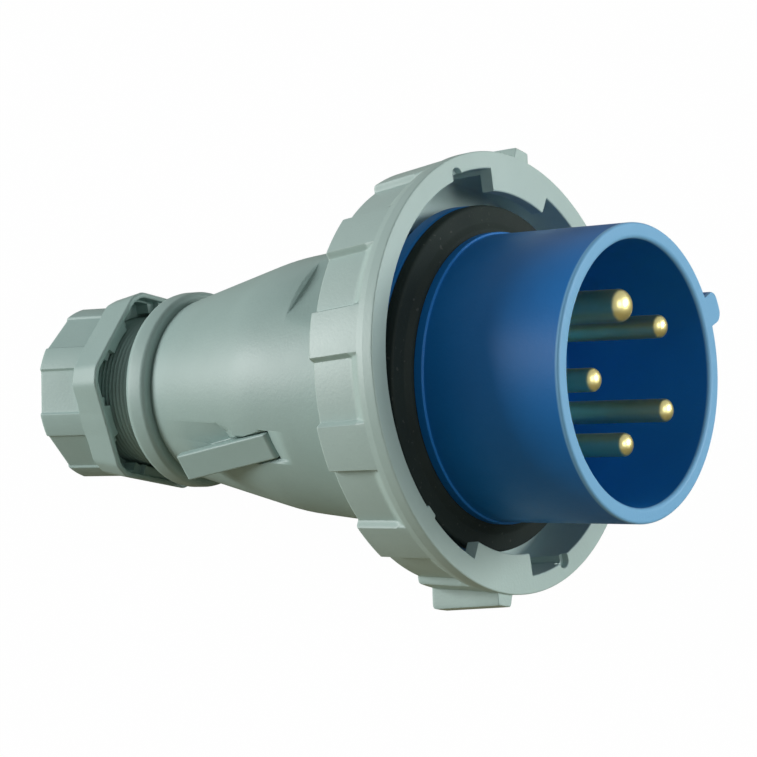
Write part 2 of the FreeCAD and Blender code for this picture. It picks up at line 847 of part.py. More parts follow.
def thrust_ring():
    rear = nut_floor_x + thrust_seat_gap
    front = rear + thrust_ring_length
    outline = [
        (front, thrust_cone_front_r),
        (front, thrust_ring_r, 0.4),
        (rear, thrust_ring_r, 0.4),
        (rear, thrust_cone_rear_r),
    ]
    return turned(outline)


def clamp_cage():
    """Ring that sits in the neck, with a flange on its end and tapered fingers behind."""
    flange_rear = neck_end_x - cage_flange_thickness
    tip_x = flange_rear - finger_length
    outline = [
        (cage_seat_x, cage_bore_r),
        (cage_seat_x, cage_seat_r - fixed_gap, 0.3),
        (neck_end_x, cage_seat_r - fixed_gap),
        (neck_end_x, cage_flange_r, 0.2),
        (flange_rear, cage_flange_r, 0.2),
        (flange_rear, finger_root_r),
        (tip_x, finger_tip_r, 0.3),
        (tip_x, cage_bore_r),
    ]
    solid = turned(outline)
    half = finger_slot / 2
    slot = block(FreeCAD.Vector(tip_x - 1, cage_bore_r - 2, -half),
                 FreeCAD.Vector(flange_rear - 0.6, cage_flange_r, half))
    return solid.cut(polar_copies(slot, finger_count))


def cable_seal():
    front = cage_seat_x + seal_front_extra
    rear = neck_end_x - cage_flange_thickness - finger_length + 0.4
    outline = [
        (front, seal_bore_r, 0.6),
        (front, neck_bore_r - 0.2, 0.6),
        (cage_seat_x + 0.05, neck_bore_r - 0.2),
        (cage_seat_x + 0.05, seal_r),
        (rear, seal_r, 0.4),
        (rear, seal_bore_r, 0.6),
    ]
    return turned(outline)


def pieces():
    """Every piece by name, still on the plug's own axis."""
    shapes = {
        "contact_insert": contact_insert(),
        "contact_holder": contact_holder(),
        "earth_pin": contact_pin(0),
        "line_pin_1": contact_pin(1),
        "line_pin_2": contact_pin(2),
        "line_pin_3": contact_pin(3),
        "neutral_pin": contact_pin(4),
        "pin_seal_rings": pin_seal_rings(),
        "earth_terminal_screw": terminal_screw(0),
        "terminal_screws": Part.makeCompound([terminal_screw(i) for i in range(1, pin_count)]),
        "holder_screws": holder_screws(),
        "flange_gasket": flange_gasket(),
        "locking_ring": locking_ring(),
        "rear_housing": rear_housing(),
        "housing_seal": housing_seal(),
        "latch_lever": latch_lever(),
        "lever_pin": lever_pin(),
        "gland_nut": gland_nut(),
        "thrust_ring": thrust_ring(),
        "clamp_cage": clamp_cage(),
        "cable_seal": cable_seal(),
    }
    return shapes


def rest_points():
    """The three places that stand on the floor: corners of two pads and the edge of one ridge of the nut."""
    pitch = 360.0 / pad_count
    middle = pad_angle + pitch * (first_rest_pad + 0.5)
    half = (pitch - pad_span) / 2
    corners = [X_AXIS * ring_end_x + outwards(middle + side * half) * pad_rear_r for side in (-1, 1)]
    points = [ring_place().multVec(corner) for corner in corners]
    ridge_pitch = 360.0 / ridge_count
    off = (middle - ridge_angle + ridge_pitch / 2) % ridge_pitch - ridge_pitch / 2
    edge = max(-ridge_span / 2, min(ridge_span / 2, off))
    points.append(X_AXIS * (nut_end_x + nut_end_round) + outwards(middle - off + edge) * ridge_r)
    return points


def lowest(shape, place):
    return placed(shape, place).optimalBoundingBox(False, False).ZMin


def rest_placement(shapes):
    """Lays the plug on two pads of the ring and on a ridge of the nut, with the front end raised."""
    first, second, third = rest_points()
    up = (second - first).cross(third - first).normalize()
    if up.dot(first) > 0:
        up = up.negative()
    ahead = (X_AXIS - up * up.dot(X_AXIS)).normalize()
    turned_over = FreeCAD.Placement(ORIGIN, FreeCAD.Rotation(ahead, up.cross(ahead), up, "ZXY").inverted())
    run = (first - third).dot(ahead)
    gap = lowest(shapes["gland_nut"], turned_over) - lowest(shapes["locking_ring"], turned_over)
    levelled = FreeCAD.Placement(ORIGIN, FreeCAD.Rotation(Y_AXIS, -degrees(atan2(gap, run))))
    turned_over = levelled.multiply(turned_over)
    box = FreeCAD.BoundBox()
    for name in ("contact_insert", "locking_ring", "gland_nut", "rear_housing"):
        box.add(placed(shapes[name], turned_over).optimalBoundingBox(False, False))
    lift = FreeCAD.Vector(-(box.XMin + box.XMax) / 2, -(box.YMin + box.YMax) / 2, -box.ZMin)
    return FreeCAD.Placement(lift, FreeCAD.Rotation()).multiply(turned_over)


def export():
    os.makedirs("parts", exist_ok=True)
    shapes = pieces()
    place = rest_placement(shapes)
    for name, shape in shapes.items():
        shape.Placement = place.multiply(shape.Placement)
        shape.exportStep("parts/" + name + ".step")
        print(name, "valid", shape.isValid(), "solids", len(shape.Solids), "volume", round(shape.Volume))
    axis = place.Rotation.multVec(X_AXIS)
    print("placement", place.Base, "axis", axis, "up", place.Rotation.multVec(Z_AXIS))
    print("lowest ring", lowest(shapes["locking_ring"], FreeCAD.Placement()),
          "lowest nut", lowest(shapes["gland_nut"], FreeCAD.Placement()))
    print("lever pivot", place.multVec(lever_place().multVec(lever_pivot())),
          "lever axis", place.Rotation.multVec(lever_place().Rotation.multVec(Y_AXIS)))


export()
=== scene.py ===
# %% [markdown]
# # An industrial pin and sleeve plug
# The real plug is a blue moulding with five brass pins inside a sleeve, a grey tapered housing behind it,
# a bayonet ring that locks it to its socket, and a gland nut that grips the cable. The frame below is the
# engineering model. It fixes every size and place, so this file only has to dress it: it lays finer
# surfaces over the moulded pieces and gives each plastic, rubber and metal its finish.

# %% Load the frame and keep its box
import json
from math import radians, cos, sin

import bmesh
import bpy
import numpy as np
from mathutils import Matrix


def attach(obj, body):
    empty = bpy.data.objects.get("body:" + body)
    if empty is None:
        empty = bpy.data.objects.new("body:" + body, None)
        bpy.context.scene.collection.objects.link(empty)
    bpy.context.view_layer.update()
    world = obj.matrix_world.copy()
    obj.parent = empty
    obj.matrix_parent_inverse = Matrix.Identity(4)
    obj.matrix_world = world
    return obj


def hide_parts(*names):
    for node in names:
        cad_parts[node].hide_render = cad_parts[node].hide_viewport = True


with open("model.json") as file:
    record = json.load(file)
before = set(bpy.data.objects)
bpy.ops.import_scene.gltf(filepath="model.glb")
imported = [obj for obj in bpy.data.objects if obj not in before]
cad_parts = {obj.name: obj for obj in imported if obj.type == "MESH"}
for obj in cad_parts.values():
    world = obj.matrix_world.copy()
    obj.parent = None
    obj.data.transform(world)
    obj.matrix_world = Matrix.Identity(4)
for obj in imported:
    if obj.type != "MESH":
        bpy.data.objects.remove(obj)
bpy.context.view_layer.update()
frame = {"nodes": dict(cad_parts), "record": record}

# %% [markdown]
# ## A frame of its own for the plug
# The plug lies on its side with its nose raised, so nothing on it is square to the floor. Working in the
# plug's own frame keeps every shape simple: x runs forwards along its axis from the rim of the sleeve, and
# places round the axis are angles. The record gives the rim, the axis and one pin, which is all it takes.

# %% The plug's own frame
MM = 0.001
EARTH_ANGLE = 109.6
mounts = {m["name"]: m for m in frame["record"]["mounts"]}
joints = {j["name"]: j for j in frame["record"]["behaviour"]["joints"]}
RIM = np.array(mounts["keyed_sleeve"]["pos_m"])
forward = np.array(mounts["keyed_sleeve"]["axis"])
forward = forward / np.linalg.norm(forward)
to_earth = np.array(mounts["earth_contact"]["pos_m"]) - RIM
to_earth = to_earth - to_earth @ forward * forward
to_earth = to_earth / np.linalg.norm(to_earth)
past_earth = np.cross(forward, to_earth)
a = radians(EARTH_ANGLE)
side = cos(a) * to_earth - sin(a) * past_earth
rise = sin(a) * to_earth + cos(a) * past_earth
AXES = np.array([forward, side, rise])


def lay(points):
    """Metres in the scene for millimetres in the plug's frame: the rim's centre plus steps along its axes."""
    return RIM + np.asarray(points, float) * MM @ AXES


def turn(vectors):
    """The same for directions, which have no place."""
    return np.asarray(vectors, float) @ AXES


print("forward", forward.round(4), "side", side.round(4), "rise", rise.round(4))

# %% [markdown]
# ## Shapes that go round an axis
# Nearly every piece of the plug was turned or moulded round one axis. Each is a section, drawn as x along
# the axis and r away from it, that is carried round. A plain lathe can't make ribs, pads and notches, so
# here every corner of the section may change with the angle: a pad is a corner whose r rises and falls.

# %% Angles round the axis
CLOSEST_EVEN = 0.25


def nearest(angles, first, pitch):
    """Degrees to each angle from the nearest of evenly spaced ones."""
    return (angles - first + pitch / 2) % pitch - pitch / 2


def edges_of(middles, span):
    """Both edges of a span about each of the middles, in degrees."""
    return [middle + way * span / 2 for middle in middles for way in (-1, 1)]


def angles_with(edges, base, soft=0.5, across=6):
    """Even steps round the axis, with a few close ones across each edge where a shape changes.

    An even step very near a close one is left out. With a base of 1 the only even step is nought.
    """
    even = np.arange(base) * 360.0 / base
    close = np.asarray(edges, float)[:, None] + soft * np.linspace(-0.5, 0.5, across)[None]
    close = close.ravel() % 360.0
    apart = np.abs(nearest(even[:, None], close[None], 360.0)).min(axis=1)
    return np.unique(np.round(np.concatenate([even[apart > CLOSEST_EVEN], close]), 3))


def gate(angles, middle, span, soft=0.5):
    """One across a span of angles and nought outside, with an S-shaped ramp of the soft width at each end."""
    off = np.abs(nearest(angles, middle, 360.0))
    t = np.clip((span / 2 - off) / soft + 0.5, 0.0, 1.0)
    return t * t * (3.0 - 2.0 * t)


# %% A section with rounded corners
ARC_STEPS = 5
SHARPEST_HALF_TURN = 1.4
MOST_OF_A_SIDE = 0.48


def section_of(corners, angles):
    """Closed sections (angles, points, 2) through (x, r, rounding) corners, each a number or one per angle.

    A rounded corner is the arc of its radius that touches both sides: a rational parabola between the two
    touching points, whose middle weight is the cosine of half the turn.
    """
    full = np.array([[np.broadcast_to(v, angles.shape) for v in c] for c in corners], float)
    spot = np.moveaxis(full[:, :2], 1, 2)
    legs = np.roll(spot, 1, axis=0) - spot, np.roll(spot, -1, axis=0) - spot
    lengths = [np.linalg.norm(leg, axis=2) for leg in legs]
    units = [leg / np.maximum(length, 1e-9)[..., None] for leg, length in zip(legs, lengths)]
    half_turn = (np.pi - np.arccos(np.clip((units[0] * units[1]).sum(axis=2), -1.0, 1.0))) / 2
    run = full[:, 2] * np.tan(np.minimum(half_turn, SHARPEST_HALF_TURN))
    run = np.minimum(run, MOST_OF_A_SIDE * np.minimum(*lengths))
    t = np.linspace(0.0, 1.0, ARC_STEPS)[:, None, None]
    points = []
    for i in range(len(corners)):
        if np.all(full[i, 2] == 0):
            points.append(spot[i][None])
            continue
        weight = np.cos(half_turn[i])[None, :, None]
        share = (1 - t) ** 2, 2 * t * (1 - t) * weight, t ** 2
        ends = [spot[i] + unit[i] * run[i][:, None] for unit in units]
        arc = share[0] * ends[0] + share[1] * spot[i] + share[2] * ends[1]
        points.append(arc / sum(share))
    return np.moveaxis(np.concatenate(points), 0, 1)


def carried_round(sections, angles):
    """Points (angles, points, 3) of sections turned to their angles: x, r times cosine, r times sine."""
    a = np.radians(angles)[:, None]
    x, r = sections[..., 0], sections[..., 1]
    return np.stack([x, r * np.cos(a), r * np.sin(a)], axis=-1)


# %% From a grid of points to a piece
SHARP_ANGLE = 38.0
MERGE_WITHIN = 1e-7


def grid_faces(rows, columns, row_wraps=True, column_wraps=True):
    """Squares between neighbours of a grid, numbered row by row."""
    i = np.arange(rows if row_wraps else rows - 1)[:, None]
    j = np.arange(columns if column_wraps else columns - 1)[None, :]
    after_i, after_j = (i + 1) % rows, (j + 1) % columns
    corners = [i * columns + j, i * columns + after_j, after_i * columns + after_j, after_i * columns + j]
    return np.stack(corners, axis=-1).reshape(-1, 4)


def piece_from(name, points, faces):
    """Object at the origin with its place in its mesh: merged, faces outwards, smooth up to an angle.

    A section that runs along the axis for a while leaves bare edges there, and they go too.
    """
    mesh = bpy.data.meshes.new(name)
    mesh.from_pydata(lay(points).tolist(), [], [list(face) for face in faces])
    shape = bmesh.new()
    shape.from_mesh(mesh)
    bmesh.ops.remove_doubles(shape, verts=shape.verts, dist=MERGE_WITHIN)
    bmesh.ops.dissolve_degenerate(shape, edges=shape.edges, dist=MERGE_WITHIN)
    bare = [edge for edge in shape.edges if not edge.link_faces]
    bmesh.ops.delete(shape, geom=bare, context="EDGES")
    bmesh.ops.recalc_face_normals(shape, faces=shape.faces)
    open_edges = sum(1 for edge in shape.edges if len(edge.link_faces) != 2)
    shape.to_mesh(mesh)
    shape.free()
    mesh.shade_smooth()
    mesh.set_sharp_from_angle(angle=radians(SHARP_ANGLE))
    made = bpy.data.objects.new(name, mesh)
    bpy.context.scene.collection.objects.link(made)
    even = made.modifiers.new("even_normals", "WEIGHTED_NORMAL")
    even.keep_sharp = True
    print(name, len(mesh.polygons), "faces,", open_edges, "open edges")
    return made


def dress(made, body, node, slot):
    """Ties a piece to its body, hides the node it stands for and gives it the finish of its slot."""
    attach(made, body)
    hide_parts(node)
    made.data.materials.append(finishes[slot])


# %% [markdown]
# ## Effects that several finishes share
# Moulded plastic is never one flat colour. The tool's surface leaves a fine grain, the pigment is a little
# uneven, and handling changes the gloss in patches. Each of these is a node group here, so that a finish is
# only a shader with its own numbers.

# %% Helpers for nodes
def add(tree, kind, **settings):
    """Adds a shader node. A setting is a property of the node, or else the socket of that name."""
    made = tree.nodes.new("ShaderNode" + kind)
    for key, value in settings.items():
        if hasattr(made, key):
            setattr(made, key, value)
        else:
            made.inputs[key.replace("_", " ")].default_value = value
    return made


def new_material(name):
    """Empty material and its node tree."""
    material = bpy.data.materials.new(name)
    material.use_nodes = True
    material.node_tree.nodes.clear()
    return material, material.node_tree


def new_effect(name, inputs, outputs):
    """Node group with a named socket for each (name, kind) pair: the tree and its two end nodes."""
    tree = bpy.data.node_groups.new(name, "ShaderNodeTree")
    for key, kind in inputs:
        tree.interface.new_socket(name=key, in_out="INPUT", socket_type="NodeSocket" + kind)
    for key, kind in outputs:
        tree.interface.new_socket(name=key, in_out="OUTPUT", socket_type="NodeSocket" + kind)
    print("effect", name, "takes", [key for key, kind in inputs])
    return tree, tree.nodes.new("NodeGroupInput"), tree.nodes.new("NodeGroupOutput")


def use(tree, effect, **values):
    """Places an effect in a material, with its own values."""
    made = tree.nodes.new("ShaderNodeGroup")
    made.node_tree = effect
    for key, value in values.items():
        made.inputs[key.replace("_", " ")].default_value = value
    return made


def mix_colours(tree, share, first, second):
    """Mix node's colour socket between two colours, each a socket to link or a plain colour.

    The node has sockets of one name for numbers, vectors and colours, so the colours go by number.
    """
    made = add(tree, "Mix", data_type="RGBA")
    tree.links.new(share, made.inputs[0])
    for number, colour in ((6, first), (7, second)):
        if isinstance(colour, tuple):
            made.inputs[number].default_value = (*colour, 1.0)
        else:
            tree.links.new(colour, made.inputs[number])
    return made.outputs[2]


# %% What every skin effect has
SKIN_INPUTS = [("Scale", "Float"), ("Depth", "Float"), ("Smoothest", "Float"), ("Roughest", "Float")]
SKIN_OUTPUTS = [("Normal", "Vector"), ("Roughness", "Float")]
PATCH_LOW, PATCH_HIGH = 0.3, 0.7


def end_skin(tree, given, result, height, patches):
    """Bumps from one noise, and from another a roughness between the two values given."""
    bump = add(tree, "Bump", Strength=1.0)
    tree.links.new(height, bump.inputs["Height"])
    tree.links.new(given.outputs["Depth"], bump.inputs["Distance"])
    tree.links.new(bump.outputs["Normal"], result.inputs["Normal"])
    spread = add(tree, "MapRange", From_Min=PATCH_LOW, From_Max=PATCH_HIGH)
    tree.links.new(patches, spread.inputs["Value"])
    tree.links.new(given.outputs["Smoothest"], spread.inputs["To Min"])
    tree.links.new(given.outputs["Roughest"], spread.inputs["To Max"])
    tree.links.new(spread.outputs["Result"], result.inputs["Roughness"])


# %% Moulded grain
PATCH_TO_GRAIN = 60.0


def make_moulded_grain():
    """Fine bumps from a small noise, and patches of gloss from one sixty times larger."""
    tree, given, result = new_effect("moulded_grain", SKIN_INPUTS, SKIN_OUTPUTS)
    place = add(tree, "TexCoord")
    fine = add(tree, "TexNoise", Detail=3.0)
    tree.links.new(place.outputs["Object"], fine.inputs["Vector"])
    tree.links.new(given.outputs["Scale"], fine.inputs["Scale"])
    wider = add(tree, "Math", operation="DIVIDE")
    wider.inputs[1].default_value = PATCH_TO_GRAIN
    tree.links.new(given.outputs["Scale"], wider.inputs[0])
    patches = add(tree, "TexNoise", Detail=4.0)
    tree.links.new(place.outputs["Object"], patches.inputs["Vector"])
    tree.links.new(wider.outputs[0], patches.inputs["Scale"])
    end_skin(tree, given, result, fine.outputs["Fac"], patches.outputs["Fac"])
    return tree


moulded_grain = make_moulded_grain()


# %% Uneven tint
CLOUD_LOW, CLOUD_HIGH = 0.35, 0.65
SPECK_SCALE, SPECK_LOW, SPECK_HIGH = 900.0, 0.7, 0.76
DUST = (0.6, 0.6, 0.56)


def make_uneven_tint():
    """Mixes two near colours by a soft cloud of noise, with small specks of dust added on top."""
    tree, given, result = new_effect("uneven_tint", [("Colour", "Color"), ("Other Colour", "Color"),
                                                     ("Scale", "Float"), ("Specks", "Float")],
                                     [("Colour", "Color")])
    place = add(tree, "TexCoord")
    cloud = add(tree, "TexNoise", Detail=5.0, Roughness=0.6)
    tree.links.new(place.outputs["Object"], cloud.inputs["Vector"])
    tree.links.new(given.outputs["Scale"], cloud.inputs["Scale"])
    share = add(tree, "MapRange", From_Min=CLOUD_LOW, From_Max=CLOUD_HIGH)
    tree.links.new(cloud.outputs["Fac"], share.inputs["Value"])
    tint = mix_colours(tree, share.outputs["Result"], given.outputs["Colour"], given.outputs["Other Colour"])
    dots = add(tree, "TexNoise", Scale=SPECK_SCALE, Detail=1.0)
    tree.links.new(place.outputs["Object"], dots.inputs["Vector"])
    few = add(tree, "MapRange", From_Min=SPECK_LOW, From_Max=SPECK_HIGH)
    tree.links.new(dots.outputs["Fac"], few.inputs["Value"])
    amount = add(tree, "Math", operation="MULTIPLY")
    tree.links.new(few.outputs["Result"], amount.inputs[0])
    tree.links.new(given.outputs["Specks"], amount.inputs[1])
    tree.links.new(mix_colours(tree, amount.outputs[0], tint, DUST), result.inputs["Colour"])
    return tree


uneven_tint = make_uneven_tint()


# %% A band along the axis
def make_axial_band():
    """Nought before one place along the plug's axis and one past another; places in metres from the rim."""
    tree, given, result = new_effect(
        "axial_band", [("Start", "Float"), ("Full", "Float")], [("Mask", "Float")])
    place = add(tree, "TexCoord")
    from_rim = add(tree, "VectorMath", operation="SUBTRACT")
    from_rim.inputs[1].default_value = tuple(RIM)
    tree.links.new(place.outputs["Object"], from_rim.inputs[0])
    along = add(tree, "VectorMath", operation="DOT_PRODUCT")
    along.inputs[1].default_value = tuple(forward)
    tree.links.new(from_rim.outputs["Vector"], along.inputs[0])
    share = add(tree, "MapRange")
    tree.links.new(along.outputs["Value"], share.inputs["Value"])
    tree.links.new(given.outputs["Start"], share.inputs["From Min"])
    tree.links.new(given.outputs["Full"], share.inputs["From Max"])
    tree.links.new(share.outputs["Result"], result.inputs["Mask"])
    return tree


axial_band = make_axial_band()


# %% Turning lines
SMEAR_SCALE = 180.0


def make_turning_lines():
    """Rings round the axis, as a lathe leaves them: noise that depends only on the place along the axis."""
    tree, given, result = new_effect("turning_lines", SKIN_INPUTS, SKIN_OUTPUTS)
    place = add(tree, "TexCoord")
    along = add(tree, "VectorMath", operation="DOT_PRODUCT")
    along.inputs[1].default_value = tuple(forward)
    tree.links.new(place.outputs["Object"], along.inputs[0])
    rings = add(tree, "TexNoise", noise_dimensions="1D", Detail=4.0, Roughness=0.7)
    tree.links.new(along.outputs["Value"], rings.inputs["W"])
    tree.links.new(given.outputs["Scale"], rings.inputs["Scale"])
    smears = add(tree, "TexNoise", Scale=SMEAR_SCALE, Detail=4.0)
    tree.links.new(place.outputs["Object"], smears.inputs["Vector"])
    end_skin(tree, given, result, rings.outputs["Fac"], smears.outputs["Fac"])
    return tree


turning_lines = make_turning_lines()

# %% [markdown]
# ## The finishes
# Housing and ring are the same grey plastic, the ring a shade lighter. The blue moulding is a denser,
# deeper plastic, and its rim carries a painted highlight: a pale band that stands in for light glowing
# through the thin edge. The pins are turned brass, the gasket is soft rubber, and the small parts inside
# are zinc-plated steel. One function makes them all: a Principled shader whose colour comes from the
# uneven tint, and whose gloss and bumps come from the grain or from the turning lines. Each finish gives
# its two colours, its smoothest and roughest gloss, and the scale and depth of its skin.

# %% One finish
def make_finish(name, colours, gloss, skin_effect, skin, clouds=60.0, specks=0.0, **shader_values):
    """Material, its tree, its shader and its tint; skin is the effect's (scale, depth), depth in metres."""
    material, tree = new_material(name)
    output = add(tree, "OutputMaterial")
    shader = add(tree, "BsdfPrincipled", **shader_values)
    tint = use(tree, uneven_tint, Colour=(*colours[0], 1.0), Other_Colour=(*colours[1], 1.0),
               Scale=clouds, Specks=specks)
    surface = use(tree, skin_effect, Scale=skin[0], Depth=skin[1], Smoothest=gloss[0], Roughest=gloss[1])
    tree.links.new(tint.outputs["Colour"], shader.inputs["Base Color"])
    tree.links.new(surface.outputs["Roughness"], shader.inputs["Roughness"])
    tree.links.new(surface.outputs["Normal"], shader.inputs["Normal"])
    tree.links.new(shader.outputs[0], output.inputs["Surface"])
    return material, tree, shader, tint


# %% Grey plastic, the holder's plastic and rubber
PLASTICS = {
    "grey_plastic": dict(colours=((0.375, 0.52, 0.49), (0.35, 0.49, 0.46)), gloss=(0.42, 0.54),
                         skin=(1500.0, 0.00004), specks=0.06, Specular_IOR_Level=0.4),
    "ring_plastic": dict(colours=((0.46, 0.61, 0.575), (0.435, 0.58, 0.545)), gloss=(0.40, 0.52),
                         skin=(1500.0, 0.00004), specks=0.06, Specular_IOR_Level=0.45),
    "holder_plastic": dict(colours=((0.11, 0.12, 0.125), (0.09, 0.1, 0.105)), gloss=(0.45, 0.6),
                           skin=(1800.0, 0.00004), Specular_IOR_Level=0.5),
    "black_rubber": dict(colours=((0.022, 0.034, 0.03), (0.017, 0.027, 0.025)), gloss=(0.65, 0.85),
                         skin=(2500.0, 0.00006), specks=0.05, Specular_IOR_Level=0.2),
}
finishes = {}
for name, values in PLASTICS.items():
    finishes[name] = make_finish(name, skin_effect=moulded_grain, **values)[0]

# %% The blue plastic and the painted highlight on its rim
BLUES = (0.009, 0.19, 0.56), (0.008, 0.17, 0.51)
# A painted highlight: this pale blue stands in for light glowing through the sleeve's thin edge and catching
# on it.
RIM_PAINTED_GLOW = (0.2, 0.48, 0.76)
RIM_GLOW_START, RIM_GLOW_FULL = -0.0011, -0.0007

finishes["blue_plastic"], blue_tree, blue_shader, blue_tint = make_finish(
    "blue_plastic", BLUES, gloss=(0.36, 0.46), skin_effect=moulded_grain, skin=(1600.0, 0.00003),
    clouds=45.0, Specular_IOR_Level=0.3)
# The band along the axis lays that painted highlight on the last millimetre before the rim.
rim_glow_band = use(blue_tree, axial_band, Start=RIM_GLOW_START, Full=RIM_GLOW_FULL)
blue_tree.links.new(mix_colours(blue_tree, rim_glow_band.outputs["Mask"], blue_tint.outputs["Colour"], RIM_PAINTED_GLOW),
                    blue_shader.inputs["Base Color"])

# %% Metals
METALS = {
    "brass": dict(colours=((0.92, 0.84, 0.4), (0.88, 0.79, 0.35)), gloss=(0.34, 0.4),
                  skin=(3000.0, 0.000004)),
    "plated_steel": dict(colours=((0.62, 0.63, 0.64), (0.55, 0.56, 0.56)), gloss=(0.25, 0.4),
                         skin=(4000.0, 0.00001)),
}
for name, values in METALS.items():
    finishes[name] = make_finish(name, skin_effect=turning_lines, clouds=140.0, Metallic=1.0, **values)[0]

# %% Finishes for the nodes of the engineering model
slot_of = {part["node"]: part["material_slot"] for part in frame["record"]["subparts"]}
for node_name, node in frame["nodes"].items():
    for material_slot in node.material_slots:
        material_slot.material = finishes[slot_of[node_name]]
print("finishes", sorted(finishes), "on", len(frame["nodes"]), "nodes")

# %% [markdown]
# ## The contact insert
# One blue moulding makes the sleeve, the wall that holds the pins, the flange that the gasket sits on and
# the neck that the ring turns on. It is a section carried round the axis. The key rib is part of the same
# section: near its angle the outer corners move outwards and fall off round its top.

# %% Sizes of the contact insert
SLEEVE_R, SLEEVE_MOUTH, SLEEVE_BORE, SLEEVE_DEPTH = 31.5, 28.1, 27.8, 37.0
KEY_ANGLE, KEY_HALF, KEY_HEIGHT, KEY_ROUND = 21.8, 3.5, 4.3, 2.4
KEY_MIDDLE_R, KEY_SOFT, KEY_STEP = 33.6, 0.25, 0.5
STOP_ANGLE, STOP_SPAN, STOP_HEIGHT, STOP_SOFT = 200.0, 3.0, 1.4, 0.4
FOOT_FRONT, FOOT_BACK, FOOT_R = -33.8, -35.9, 31.0
FLANGE_FRONT, FLANGE_BACK, FLANGE_R = -40.0, -43.5, 37.5
NECK_BACK, NECK_R = -51.2, 33.6
SPIGOT_BACK, SPIGOT_R, SPIGOT_BORE = -59.6, 28.0, 25.6
GROOVE_FRONT, GROOVE_BACK, GROOVE_R = -53.2, -55.4, 26.8
WALL_BACK = -43.0


def key_rise(angles, radius):
    """How far the key stands out: its height, less a quarter circle's fall towards each steep side."""
    off = nearest(angles, KEY_ANGLE, 360.0)
    aside = np.abs(np.radians(off)) * (radius + KEY_HEIGHT / 2)
    over = np.clip(aside - (KEY_HALF - KEY_ROUND), 0.0, KEY_ROUND)
    top = KEY_HEIGHT - KEY_ROUND + np.sqrt(KEY_ROUND ** 2 - over ** 2)
    return top * gate(aside, 0.0, 2 * KEY_HALF, KEY_SOFT)


# %% Contact insert
key_edge = float(np.degrees(KEY_HALF / KEY_MIDDLE_R))
key_fan = KEY_ANGLE + np.linspace(-key_edge, key_edge, 31)
insert_edges = [KEY_ANGLE - key_edge, KEY_ANGLE + key_edge, *edges_of([STOP_ANGLE], STOP_SPAN)]
insert_angles = np.unique(np.round(np.concatenate([angles_with(insert_edges, 240), key_fan]), 3))
key = key_rise(insert_angles, SLEEVE_R)
key_foot = np.maximum(key - KEY_STEP, 0.0)
stop = STOP_HEIGHT * gate(insert_angles, STOP_ANGLE, STOP_SPAN, STOP_SOFT)
insert_section = section_of([
    (0.0, SLEEVE_MOUTH, 0.9),
    (0.0, SLEEVE_R + key, 0.6),
    (FOOT_FRONT, FOOT_R + key, 0.3),
    (FOOT_FRONT, SLEEVE_R + key_foot, 0.35),
    (FOOT_BACK, SLEEVE_R + key_foot, 0.2),
    (FOOT_BACK, FOOT_R, 0.0),
    (FLANGE_FRONT, FOOT_R, 0.0),
    (FLANGE_FRONT, FLANGE_R, 0.6),
    (FLANGE_BACK, FLANGE_R, 0.5),
    (FLANGE_BACK, NECK_R + stop, 0.3),
    (NECK_BACK, NECK_R + stop, 0.3),
    (NECK_BACK, SPIGOT_R, 0.3),
    (GROOVE_FRONT, SPIGOT_R, 0.0),
    (GROOVE_FRONT, GROOVE_R, 0.0),
    (GROOVE_BACK, GROOVE_R, 0.0),
    (GROOVE_BACK, SPIGOT_R, 0.0),
    (SPIGOT_BACK, SPIGOT_R, 0.6),
    (SPIGOT_BACK, SPIGOT_BORE, 0.4),
    (WALL_BACK, SPIGOT_BORE, 0.4),
    (WALL_BACK, 0.0, 0.0),
    (-SLEEVE_DEPTH, 0.0, 0.0),
    (-SLEEVE_DEPTH, SLEEVE_BORE, 1.2),
], insert_angles)
insert_grid = carried_round(insert_section, insert_angles)
insert = piece_from("contact_insert_skin", insert_grid.reshape(-1, 3), grid_faces(*insert_grid.shape[:2]))
dress(insert, "plug_body", "contact_insert", "blue_plastic")

# %% [markdown]
# ## The contact pins
# Each pin is turned from brass rod. Its tip is a low dome, which an ellipse gives: going out from the
# middle, the tip falls back as the ellipse does, until it meets the straight shaft. Inside the wall come a
# thicker root and the collar of a barrel, whose back has a drilled hole for the wire. The clamping screw's
# cross hole, which the holder hides, is left out.

# %% Contact pins
PIN_CIRCLE, PIN_COUNT = 15.2, 5
PIN_NODES = ["earth_pin", "line_pin_1", "line_pin_2", "line_pin_3", "neutral_pin"]
EARTH_PIN = {"shaft": 3.5, "tip": 1.0, "hole": 2.5}
OTHER_PIN = {"shaft": 2.5, "tip": -1.0, "hole": 1.9}
ROOT_STEP, COLLAR_STEP, BARREL_CHAMFER = 0.4, 1.7, 0.4
COLLAR_FRONT, BARREL_BACK = WALL_BACK + 2.0, -69.0
WIRE_HOLE_DEPTH, DRILL_POINT = 12.0, 1.2
DOME_SHARE = 0.7


